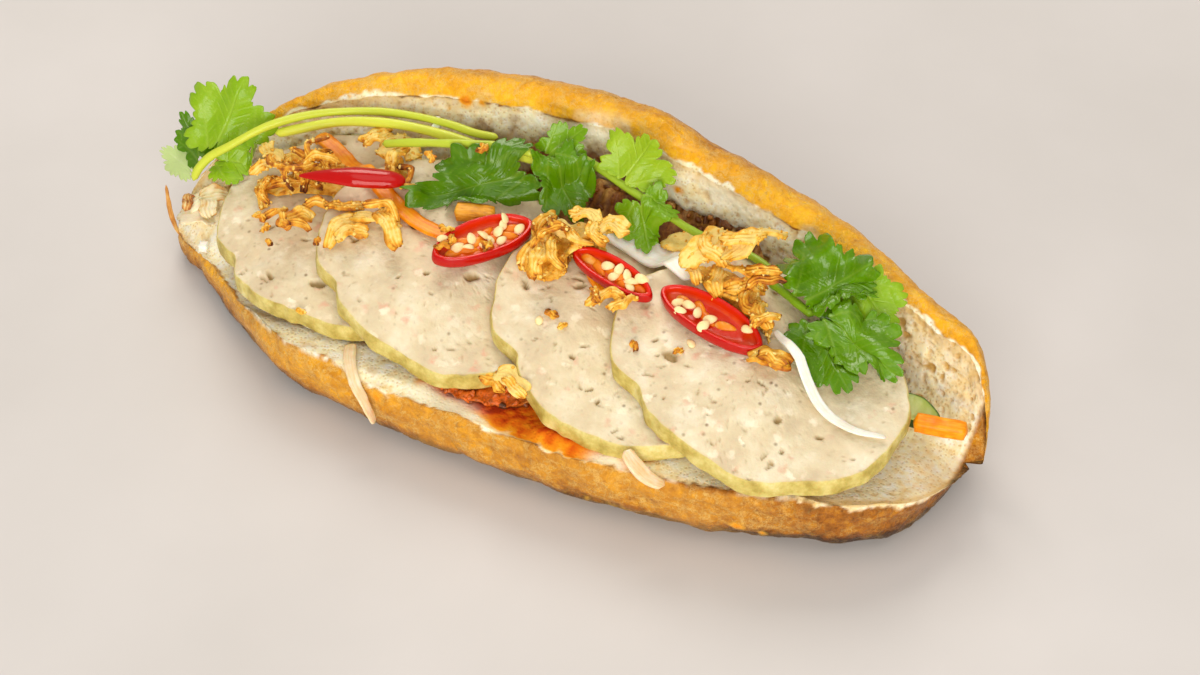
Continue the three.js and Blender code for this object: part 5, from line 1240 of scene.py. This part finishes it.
# coriander leaf: thin and soft, waxy enough to shine where it bends, light coming through it;
# the veins are paler, the lower side is greyer and the stems are yellow-green and juicy
coriander, tree, place, tone_at, vein_at, below_at = surface("coriander_leaf", "tone", "vein", "below")
patchy = add(tree, "TexNoise", {"Vector": place, "Scale": 160.0, "Detail": 5.0, "Roughness": 0.6})
at = add(tree, "Math", [patchy, 0.35, tone_at], operation="MULTIPLY_ADD")
at = add(tree, "Math", [at, 0.175], operation="SUBTRACT")
green = add(tree, "ValToRGB", [at], [
    (0.05, "#3E6A00"), (0.35, "#5C8C00"), (0.65, "#80AC06"), (0.95, "#A2C024")])
vein_strength = add(tree, "MapRange", [tone_at, 0.0, 1.0, 0.12, 0.5])
stem_tint = add(tree, "MapRange", [tone_at, 1.3, 2.0])
stem_colour = add(tree, "ValToRGB", [stem_tint], [(0.0, "#84B01A"), (1.0, "#DCE24A")])
for share, over in ((add(tree, "Math", [vein_at, vein_strength], operation="MULTIPLY"), "#B9D256"),
                    (add(tree, "Math", [below_at, 0.7], operation="MULTIPLY"), "#BFCF9C"),
                    (add(tree, "MapRange", [tone_at, 1.2, 1.3]), stem_colour)):
    green = add(tree, "MixRGB", [share, green, over])
fine = add(tree, "TexNoise", {"Vector": place, "Scale": 1100.0, "Detail": 3.0})
finished(tree, {"Base Color": green, "Roughness": add(tree, "MapRange", [tone_at, 0.3, 0.9, 0.2, 0.46]),
                "Specular IOR Level": 0.28, "Subsurface Weight": 0.1, "Subsurface Scale": 0.001,
                "Subsurface Radius": (0.6, 1.0, 0.2), "Coat Weight": 0.22, "Coat Roughness": 0.07},
         add(tree, "Math", [vein_at, -0.8, fine], operation="MULTIPLY_ADD"), 0.35, 0.0004)

SPRIGS = [  # piece, node, stems (route, radii, tone), leaflets
    ("coriander_sprig_back", "coriander_back",
     [([(-6, 35, 52), (2, 34, 50.4), (9, 32.6, 48.6), (19.5, 31.4, 45.6), (29.5, 30, 42.5), (39, 29, 40.6),
        (47, 28.6, 40.4), (54, 26.4, 40.6), (60, 23, 41)], 1.2, 1.0, 0.45)],
     [dict(foot=(8.5, 32.6, 48.8), tip=(15.5, 40, 63), width=21, seed=22, tone=0.84, curl=0.5),
      dict(foot=(14.4, 31.4, 47), tip=(22.4, 21.4, 36), width=18, seed=25, tone=0.5, curl=0.5)]),
    ("coriander_sprig_centre", "coriander_centre",
     [([(-93.5, 18.2, 40.4), (-86.4, 22, 41.6), (-78.3, 26.4, 42.6), (-67.7, 29.6, 43.6), (-57.1, 31.6, 44.6),
        (-46.1, 32.2, 45.6), (-33.7, 31.6, 47), (-23, 31, 49), (-12, 30.6, 50.2)], 1.35, 1.4, 0.95),
      ([(-61, 23, 38), (-52.6, 24, 41), (-43.9, 25.4, 43.4), (-35.4, 27, 45.6), (-26.5, 28.6, 47.4),
        (-16, 29, 48.8)], 1.2, 1.2, 0.7)],
     [dict(foot=(-16, 27.4, 48), tip=(-46, 8.5, 41), width=20, wave=1.6, seed=12, tone=0.18, curl=1.1),
      dict(foot=(-14.5, 31.8, 50.4), tip=(-5, 38.2, 60), width=12, seed=14, tone=0.5, curl=0.6),
      dict(foot=(-12, 30.4, 49.8), tip=(0.5, 24, 38.5), width=16, seed=19, tone=0.28, curl=0.7)]),
    ("coriander_sprig_left", "coriander_left",
     [([(-113.6, 3.4, 27), (-112.6, 4.6, 30), (-110, 7, 33.4), (-104, 10, 37.4), (-96, 16.4, 41.4),
        (-88.6, 23.2, 42.4), (-80, 29.6, 43), (-68.4, 34.4, 44), (-57.6, 36, 44.4), (-46, 35.8, 44.8),
        (-38, 34.6, 45.4), (-30, 33.9, 47.4)], 1.2, 1.1, 0.85)],
     [dict(foot=(-114.4, 6.8, 27), tip=(-129.4, 9.4, 30.5), face=(-0.3, 0.9, -0.9), width=11, seed=7,
           lobes=0.5, tone=1.0, curl=0.5, drape=False),
      dict(foot=(-111, 9.6, 32), tip=(-96.4, 12.8, 32.4), face=(0.2, -0.6, 0.9), width=17, seed=9, tone=0.7,
           curl=0.5, lobes=0.8),
      dict(foot=(-113.2, 9.2, 29.6), tip=(-123.6, 16.4, 40.6), face=(0.1, -0.8, 0.6), width=12, seed=5,
           tone=0.22, curl=0.6, drape=False),
      dict(foot=(-111, 10.4, 32), tip=(-105.8, 25.6, 53.2), width=25, seed=2, tone=0.72, curl=0.6,
           drape=False)], True),
]


def sprig(name, node, stems, leaflets, stems_over=False):
    """Stems and then the leaflets that lie on them. With `stems_over` the leaflets are laid first,
    and the stems pay no heed to them."""
    bare = ground.copy()
    parts = [leaflet(**leaf) for leaf in leaflets] if stems_over else []
    with_leaves = ground.copy()
    ground[:] = bare
    parts += [stem(*row, 3 * i) for i, row in enumerate(stems)]
    np.maximum(ground, with_leaves, out=ground)
    parts += [] if stems_over else [leaflet(**leaf) for leaf in leaflets]
    placed(made_mesh(name, *joined(parts)), coriander, "coriander", node)


for row in SPRIGS:
    sprig(*row)

# ---------------------------------------------------------------- chilli
# A long red chilli cut on the slant: glossy thin skin, a firm wet wall, orange pith inside and
# flat cream seeds stuck to it. One slice lies on its cut side with the skin up.
CHILLI_AROUND, BASE_RINGS = 120, 6
PITH_HIGH = 0.38                    # of the height of a ring
SEED_LONG, SEED_WIDE, SEED_HIGH = 2.3, 1.45, 0.62       # half sizes
WALL_PROFILE = [  # what is taken off length and width, height share, kind
    (2.2, 1.7, 0.0, 0.0), (0.9, 0.9, 0.0, 0.0), (0.35, 0.4, 0.08, 0.0), (0.08, 0.1, 0.25, 0.0),
    (0, 0, 0.45, 0.0), (0.05, 0.05, 0.65, 0.0), (0.2, 0.18, 0.84, 0.0), (0.42, 0.36, 0.95, 0.0),
    (0.62, 0.52, 1.0, 0.25), (0.85, 0.7, 1.0, 0.22), (1.25, 1.0, 0.99, 0.25), (1.65, 1.3, 0.96, 0.3),
    (1.9, 1.5, 0.86, 0.4), (2.1, 1.65, 0.7, 0.45), (2.4, 1.9, 0.5, 0.5), (3.0, 2.4, 0.4, 0.55)]


def seed_body(at, turn, tip, size=1.0, kind=1.0, slim=1.0):
    """A flat teardrop seed, or with a lower `kind` and more `slim` a rib of pith."""
    angle = ring_angles(14)
    b = np.linspace([0.25], [math.pi - 0.25], 6)
    px = SEED_LONG * size * slim * np.sin(b) * np.cos(angle)
    py = SEED_WIDE * size * np.sin(b) * np.sin(angle) * (1 - 0.3 * np.cos(angle))
    py, pz = turned(py, SEED_HIGH * size * np.cos(b) - 0.1 * (px / slim)**2 / size, tip)
    px, py = turned(px, py, turn)
    return tube(np.stack([px, py, pz], -1) + np.array(at), {"kind": kind})


def chilli_ring(name, node, at, long, wide, high, turn, tilt, inside, ribs, seeds):
    """A slanted ring. A rib is (x, y) and a seed (x, y, height, turn, tip) in the ring's own frame."""
    angle = ring_angles(CHILLI_AROUND)
    levels = WALL_PROFILE + [(long / 2 * f, wide / 2 * f, PITH_HIGH, inside) for f in (0.5, 0.7, 0.85)]
    off_a, off_b, h, kind = columns(levels)

    def sag(px):
        return 0.9 * (px / (long / 2)) ** 2

    px = np.maximum(long / 2 - off_a, 0.5) * np.cos(angle)
    py = np.maximum(wide / 2 - off_b, 0.4) * np.sin(angle) * (1 - 0.16 * np.abs(np.cos(angle)) ** 6)
    rings = np.stack([px, py, high * h - sag(px)], -1)
    rings[..., 2] += (kind > 0.6) * 0.35 * grain(rings * [1, 1.4, 1], 1.8, 401)
    rings += 0.07 * np.stack([grain(rings, 2.2, 402 + i) for i in range(3)], -1) * (kind[..., None] < 0.6)
    parts = [tube(rings, {"kind": kind})]
    parts += [seed_body((sx, sy, high * 0.46 - sag(sx)), 0.5 * math.sin(5 * i), 0.3, 0.85,
                        0.84 - 0.04 * (i % 3), 1.7) for i, (sx, sy) in enumerate(ribs)]
    parts += [seed_body((sx, sy, high * 0.5 + 0.3 + lift - sag(sx)), st, tp, 0.86 + 0.12 * math.sin(3 * i))
              for i, (sx, sy, lift, st, tp) in enumerate(seeds)]
    points, faces, numbers = joined(parts)
    x, y, z = points.T
    y, z = turned(y, z, tilt[0])
    z, x = turned(z, x, tilt[1])
    x, y = turned(x, y, turn)
    points = np.stack([x + at[0], y + at[1], z], -1)
    base = points[:CHILLI_AROUND * BASE_RINGS]
    points[:, 2] += np.percentile(under(base) - base[:, 2], 93) + 0.05
    lay(points)
    placed(made_mesh(name, points, faces, numbers), red_chilli, "chilli", node)


# raw chilli: mirror-smooth red skin, wet orange-red flesh, orange pith and dry cream seeds
red_chilli, tree, place, kind_at = surface("raw_red_chilli", "kind")
streak = add(tree, "TexNoise", {"Vector": place, "Scale": 380.0, "Detail": 4.0})
wobble = add(tree, "Math", [streak, 0.5], operation="SUBTRACT")
at = add(tree, "Math", [wobble, 0.22, kind_at], operation="MULTIPLY_ADD")
chilli_colour = add(tree, "ValToRGB", [at], [
    (0.0, "#B80604"), (0.14, "#C90C06"), (0.27, "#D81C08"), (0.5, "#D63206"),
    (0.68, "#E8640A"), (0.84, "#F29418"), (0.9, "#F8D07C"), (1.0, "#FFE8B0")])
finished(tree, {"Base Color": chilli_colour, "Specular IOR Level": 0.32,
                "Roughness": add(tree, "MapRange", [kind_at, 0.0, 1.0, 0.14, 0.42]),
                "Subsurface Weight": 0.06, "Subsurface Scale": 0.001,
                "Coat Weight": 0.14, "Coat Roughness": 0.05}, streak, 0.25, 0.0006)

# the slice with its skin up: a low half barrel, widest in the middle
line = spline([(-75.6, 1.2, 0), (-68.1, 3.4, 0), (-60.6, 5.8, 0), (-53.6, 8.4, 0), (-47.4, 11.2, 0)], 60)
u = np.linspace(0, 1, len(line))
bulge = (np.clip(u * 1.9, 0, 1) ** 0.7 * np.sqrt(np.clip(1 - u**9, 0.02, 1)))[:, None]
side = frames(line)[0]
need = np.max([under(line + side * out) for out in (-2.2, 0, 2.2)], axis=0) + 0.6
straight = np.polyval(np.polyfit(u, need, 1), u)
line[:, 2] = straight + np.percentile(need - straight, 80) - 0.9 * (2 * u - 1) ** 2
angle = ring_angles(28)
rings = round_line(line, (0.25 + 3.3 * bulge) * np.cos(angle),
                   (0.25 + 2.5 * bulge) * np.where(np.sin(angle) > 0, 1, 0.55) * np.sin(angle))
lay(rings)
placed(made_mesh("chilli_slice_skin_up", *tube(rings, {"kind": np.where(np.sin(angle) < -0.5, 0.3, 0.0)})),
       red_chilli, "chilli", "chilli_1")

chilli_ring("chilli_slice_2", "chilli_2", (-18.8, 1.8), 30.5, 13.6, 3.8, 0.93, (0.1, 0.02), 0.7,
            [(-8.6, -0.6), (-5.2, -1.4), (-4.6, 1.6), (-1.2, 0.2), (1.8, 1.8), (3.4, -0.8), (7, -1.2),
             (9.4, 0.8)],
            [(8.4, 3.6, 1.7, 1.3, 0.7), (10.8, -1.0, 0.9, 0.5, 0.3), (7.2, 2.0, 1.0, 0.9, 0.5),
             (0.5, 0.9, 0.8, 1.9, 0.5), (4.4, -2.8, 0.5, 0.4, 0.2), (-2.8, 1.4, 0.5, 1.2, 0.3),
             (-0.9, -2.6, 0.4, 2.2, -0.3), (-7.4, 0.2, 0.2, 0.3, 0.2), (1.6, -1.4, 0.6, 1.4, 0.4),
             (5.0, 0.6, 0.8, 0.8, -0.3), (-5.0, -1.0, 0.4, 2.6, 0.3)])
chilli_ring("chilli_slice_3", "chilli_3", (18.9, 4.6), 26.4, 9.2, 3.6, -0.2, (0.2, 0.1), 0.62,
            [(-7.4, 0.2), (-4.2, -0.5), (-1, 0.4), (2.4, 0.3), (5.4, -0.3), (8, 0.4)],
            [(-2.0, 0.8, 0.6, 0.6, 0.3), (1.3, 1.8, 0.9, 1.6, 0.5), (4.0, 1.4, 1.1, 2.2, 0.4),
             (6.0, 0.4, 0.9, 0.4, -0.3), (1.3, -0.9, 0.5, 1.1, 0.2), (8.2, 2.2, 1.6, 0.3, 0.6),
             (6.6, -1.2, 0.7, 2.8, 0.2)])
chilli_ring("chilli_slice_4", "chilli_4", (49, 2), 33.4, 12.4, 3.8, -0.24, (0.12, 0.05), 0.42,
            [(-9, 0.6), (-4.4, 1.0), (-1, -0.6), (4.4, 0.2)],
            [(-7.1, -0.5, 0.8, 0.3, 0.3), (-10, -1.4, 0.7, 1.2, 0.2), (-3.8, -0.9, 0.6, 2.0, 0.4),
             (0.3, -0.9, 0.5, 0.9, 0.3), (-7.4, -4.0, 1.6, 0.5, 0.5), (0.8, -4.3, 1.7, 1.4, 0.5),
             (10.2, 2.0, 1.2, 0.2, 0.4)])

# ---------------------------------------------------------------- fried onions over the slices
# The same fried onions again, laid on after the chilli: an arched ribbon on the second slice, the
# tall curls beside the third, single flakes and the loose heap at the right.
heap("fried_onion_arch_piece", "fried_onion_arch", 71, None,
     [(-56.6, -6.4, 16, 4.2, 1.2, 0.5, 2.0, 1.5, 0.1, -0.05),
      (-51.0, 0.6, 14, 4.0, 0.25, -0.6, 2.2, 1.5, 0.1, -0.1),
      (-43.8, -3.0, 17, 5.0, -0.8, -0.45, 2.6, 1.6, 0.25, -0.05),
      (-53.6, -9.2, 9, 5.0, 0.6, 0.3, 0.8, 1.4, 0.0, -0.12),
      (-48.2, -1.4, 12, 2.6, -0.1, 0.4, 1.8, 1.3, 0.6, 0.05)],
     density=8, batter=0.2, frill=0.35)
heap("fried_onion_curls_centre", "fried_onions_centre", 23,
     [(-8, 10), (-5, 4), (-1, -2), (3, -1), (6, 3), (9, 8), (13, 12), (12, 16), (6, 17), (-3, 14.5)],
     [(-4.8, 8.4, 20, 4.2, 1.6, 0.1, 1.8, 1.5, 0.6, -0.04),
      (-2.0, 4.6, 21, 3.8, 1.85, 0.1, 2.0, 1.5, -0.5, -0.02),
      (-0.4, 0.4, 14, 4.4, 1.95, 0.15, 1.4, 1.4, 0.2, -0.06),
      (2, 12.5, 11, 6.2, 0.15, 0.15, 1.4, 1.4, 0.1, -0.28),
      (9, 14.5, 10, 5.6, 0.8, 0.2, 1.6, 1.4, -0.2, -0.22),
      (4.4, 3.4, 12, 3.2, 2.2, 0.9, 1.0, 1.3, 0.3, -0.02),
      (13.4, 16, 9, 5.6, 0.4, 0.2, 1.2, 1.3, 0.2, -0.26),
      (-5.2, 13.6, 9, 3.0, 1.3, 0.4, 1.2, 1.3, 0.6, 0.04),
      (6.6, 10, 10, 3.4, 2.8, 0.6, 1.2, 1.3, 0.4, -0.06),
      (-3.6, 8, 13, 2.4, 1.6, -0.3, 1.4, 1.3, -0.8, 0.06),
      (11.4, 12.4, 9, 3.6, 2.4, 0.7, 1.0, 1.3, 0.2, -0.1),
      (5.4, 16, 9, 4.4, 0.1, 0.2, 1.0, 1.3, 0.1, -0.18), (1, 6, 10, 2.4, 0.9, 0.8, 1.0, 1.2, 0.3, 0.1)],
     1.4, 12, 0.18, 0.45)
heap("fried_onion_flake_by_carrot", "fried_onion_flake_centre", 5, None,
     [(21.6, -5.4, 11, 3.2, 0.7, 0.5, 1.0, 1.6, 0.2, 0.0),
      (26, -4.2, 8, 3.4, 0.9, -0.3, 1.2, 1.5, -0.2, -0.05),
      (19.6, -6.6, 6, 2.2, 2.2, 0.4, 0.6, 1.2, 0.1, 0.1)], density=12, batter=0.3, frill=0.7)
heap("fried_onion_flake_by_leaf", "fried_onion_flake_right", 61, None,
     [(68.6, -5.0, 11, 6.0, 0.2, 0.1, 0.6, 1.5, 0.1, -0.02),
      (69.4, -6.8, 8, 3.4, -0.2, 0.2, 0.4, 1.3, 0.2, 0.1)],
     density=8, batter=0.2, frill=0.4)

sprig("coriander_sprig_right", "coriander_right",
      [([(58, 20.6, 41), (63.4, 18.4, 41.4), (68.6, 16, 41.4), (73, 14.6, 41)], 1.1, 1.2, 0.3)],
      [dict(foot=(78.6, 29, 45), tip=(95, 18.4, 39.6), width=19, seed=33, tone=0.72, curl=0.8,
            lobes=0.8),
       dict(foot=(72, 14.5, 41), tip=(92, -4, 34), width=24, seed=38, tone=0.26, curl=1.3, lobes=0.7),
       dict(foot=(75, 13, 41.4), tip=(102, 7, 36), width=25, wave=1.4, seed=35, tone=0.36, curl=1.4,
            lobes=0.7),
       dict(foot=(67, 13.4, 41.6), tip=(84.5, 34, 50), width=36, wave=2.2, seed=31, tone=0.32, curl=2.2,
            lobes=0.55)])

line = spline([(x, y, 0) for x, y in (
    (65.6, 5.6), (70, 1.4), (75, -2.6), (80, -6.0), (85, -8.8), (90.5, -10.6), (97, -11), (103.5, -10))], 66)
rings = strip(laid(line, 1.6, 0.6, 0.012), 3.0, 0.95, 270, 0.45, 0.5, rough=0.05)
placed(strip_mesh("radish_shred_over_leaf", rings), radish_finish, "pickled_radish", "radish_strip_2")
lay(rings)

heap("fried_onions_by_right_sprig", "fried_onions_right", 37,
     [(38, 17), (42, 13), (50, 10.8), (57, 7.4), (62, 3), (65.6, 1.2), (65.6, 4), (61, 11), (56, 17),
      (48, 20), (41, 20)],
     [(50, 9.4, 9, 3.6, 0.2, 0.3, 0.6, 1.2, 0.1, 0.02), (58, 8.4, 12, 3.4, 2.4, 0.5, 1.0, 1.3, -0.3, 0.08),
      (62.6, 4.6, 11, 3.8, 2.2, 0.3, 0.8, 1.3, 0.1, 0.0),
      (54, 12.4, 11, 4.4, 0.4, 0.3, 1.2, 1.4, 0.2, -0.04),
      (46.6, 12.6, 11, 4.6, 1.9, 0.3, 1.2, 1.4, 0.2, -0.08),
      (60.4, 11.6, 11, 2.6, 0.6, 0.6, 1.0, 1.2, 0.3, 0.16),
      (51, 14.4, 11, 3.0, 2.8, 0.6, 1.0, 1.2, 0.4, 0.1),
      (57.8, 14.6, 10, 3.0, 0.3, -0.5, 1.2, 1.2, 0.4, 0.14),
      (64.6, 1.6, 9, 3.2, 0.9, 0.3, 0.8, 1.2, 0.0, 0.04),
      (39.4, 13.4, 10, 3.8, 2.2, 0.4, 1.0, 1.3, 0.3, -0.02),
      (41.2, 17.6, 17, 7.6, 1.2, 0.15, 2.6, 1.6, 0.3, -0.2),
      (43.6, 14.4, 12, 4.4, 2.5, 0.3, 2.0, 1.5, -0.3, -0.12),
      (53.4, 19.6, 19, 6.8, 0.95, 0.1, 3.2, 1.6, -0.35, -0.22),
      (50.6, 17.6, 12, 4.4, 0.5, -0.4, 1.6, 1.4, 0.3, -0.1)],
     1.4, 12, 0.16, 0.4)

# ---------------------------------------------------------------- loose bits
# What fell off the topping: a few chilli seeds, crumbs of fried onion on the slices and the crust,
# a dry brown thread of shallot at the left tip and a scrap of radish on the back stem.
parts = [seed_body((x, y, under(np.array([x, y, 0])) + 0.35), turn, 0.15, 0.75)
         for x, y, turn in ((5.8, -13.6, 1.9), (-27.6, -4.6, 0.8), (46.4, -5.6, 2.4))]
placed(made_mesh("loose_chilli_seeds", *joined(parts)), red_chilli, "chilli")

CRUMBS = [(-81, -12.5, 3.2, 2.2), (-77.5, -15.2, 2.6, 1.6), (-74.5, -18.5, 2.2, 1.4),
          (-26.4, -6.8, 4.0, 2.6), (-24.6, -5.0, 2.6, 1.8), (-28, -1.6, 3.4, 1.6), (-15.4, -1.6, 3.0, 2.2),
          (8.2, -10.8, 3.4, 2.4), (12.4, -13.2, 2.2, 1.4), (33, -12.6, 3.0, 1.4), (44.6, -9.6, 2.4, 1.4),
          (-62, -13.5, 2.2, 1.4), (-58.5, -30.5, 2.4, 1.6), (-30, 24.6, 3.6, 2.0), (-44.5, 20.4, 3.8, 2.2)]
parts = [crisp(*crumb, 1.3 * i, 0.3, 0.3, 1.2, 0.1, 0.05 * (i % 4 - 1), 500 + i, 0.25)
         for i, crumb in enumerate(CRUMBS)]
placed(made_mesh("loose_onion_crumbs", *joined(parts)), fried, "fried_onion")

line = spline([(-121.5, 0.6, 25.4), (-119.4, -2.2, 22.2), (-117.2, -4.6, 18.6), (-114, -6.6, 14.4)], 24)
rings = strip(line, 1.5, 0.9, 280, 0.7, 0.5, rough=0.12)
placed(strip_mesh("dry_shallot_thread", rings), toasted_shallot, "fried_onion")

line = spline([(-51, 37, 48.4), (-50.2, 36, 46.6), (-50.4, 33.6, 46.4)], 16)
rings = strip(line, 2.6, 1.5, 285, 0.3, 0.6, rough=0.3)
placed(strip_mesh("radish_scrap_on_stem", rings), radish_finish, "pickled_radish")
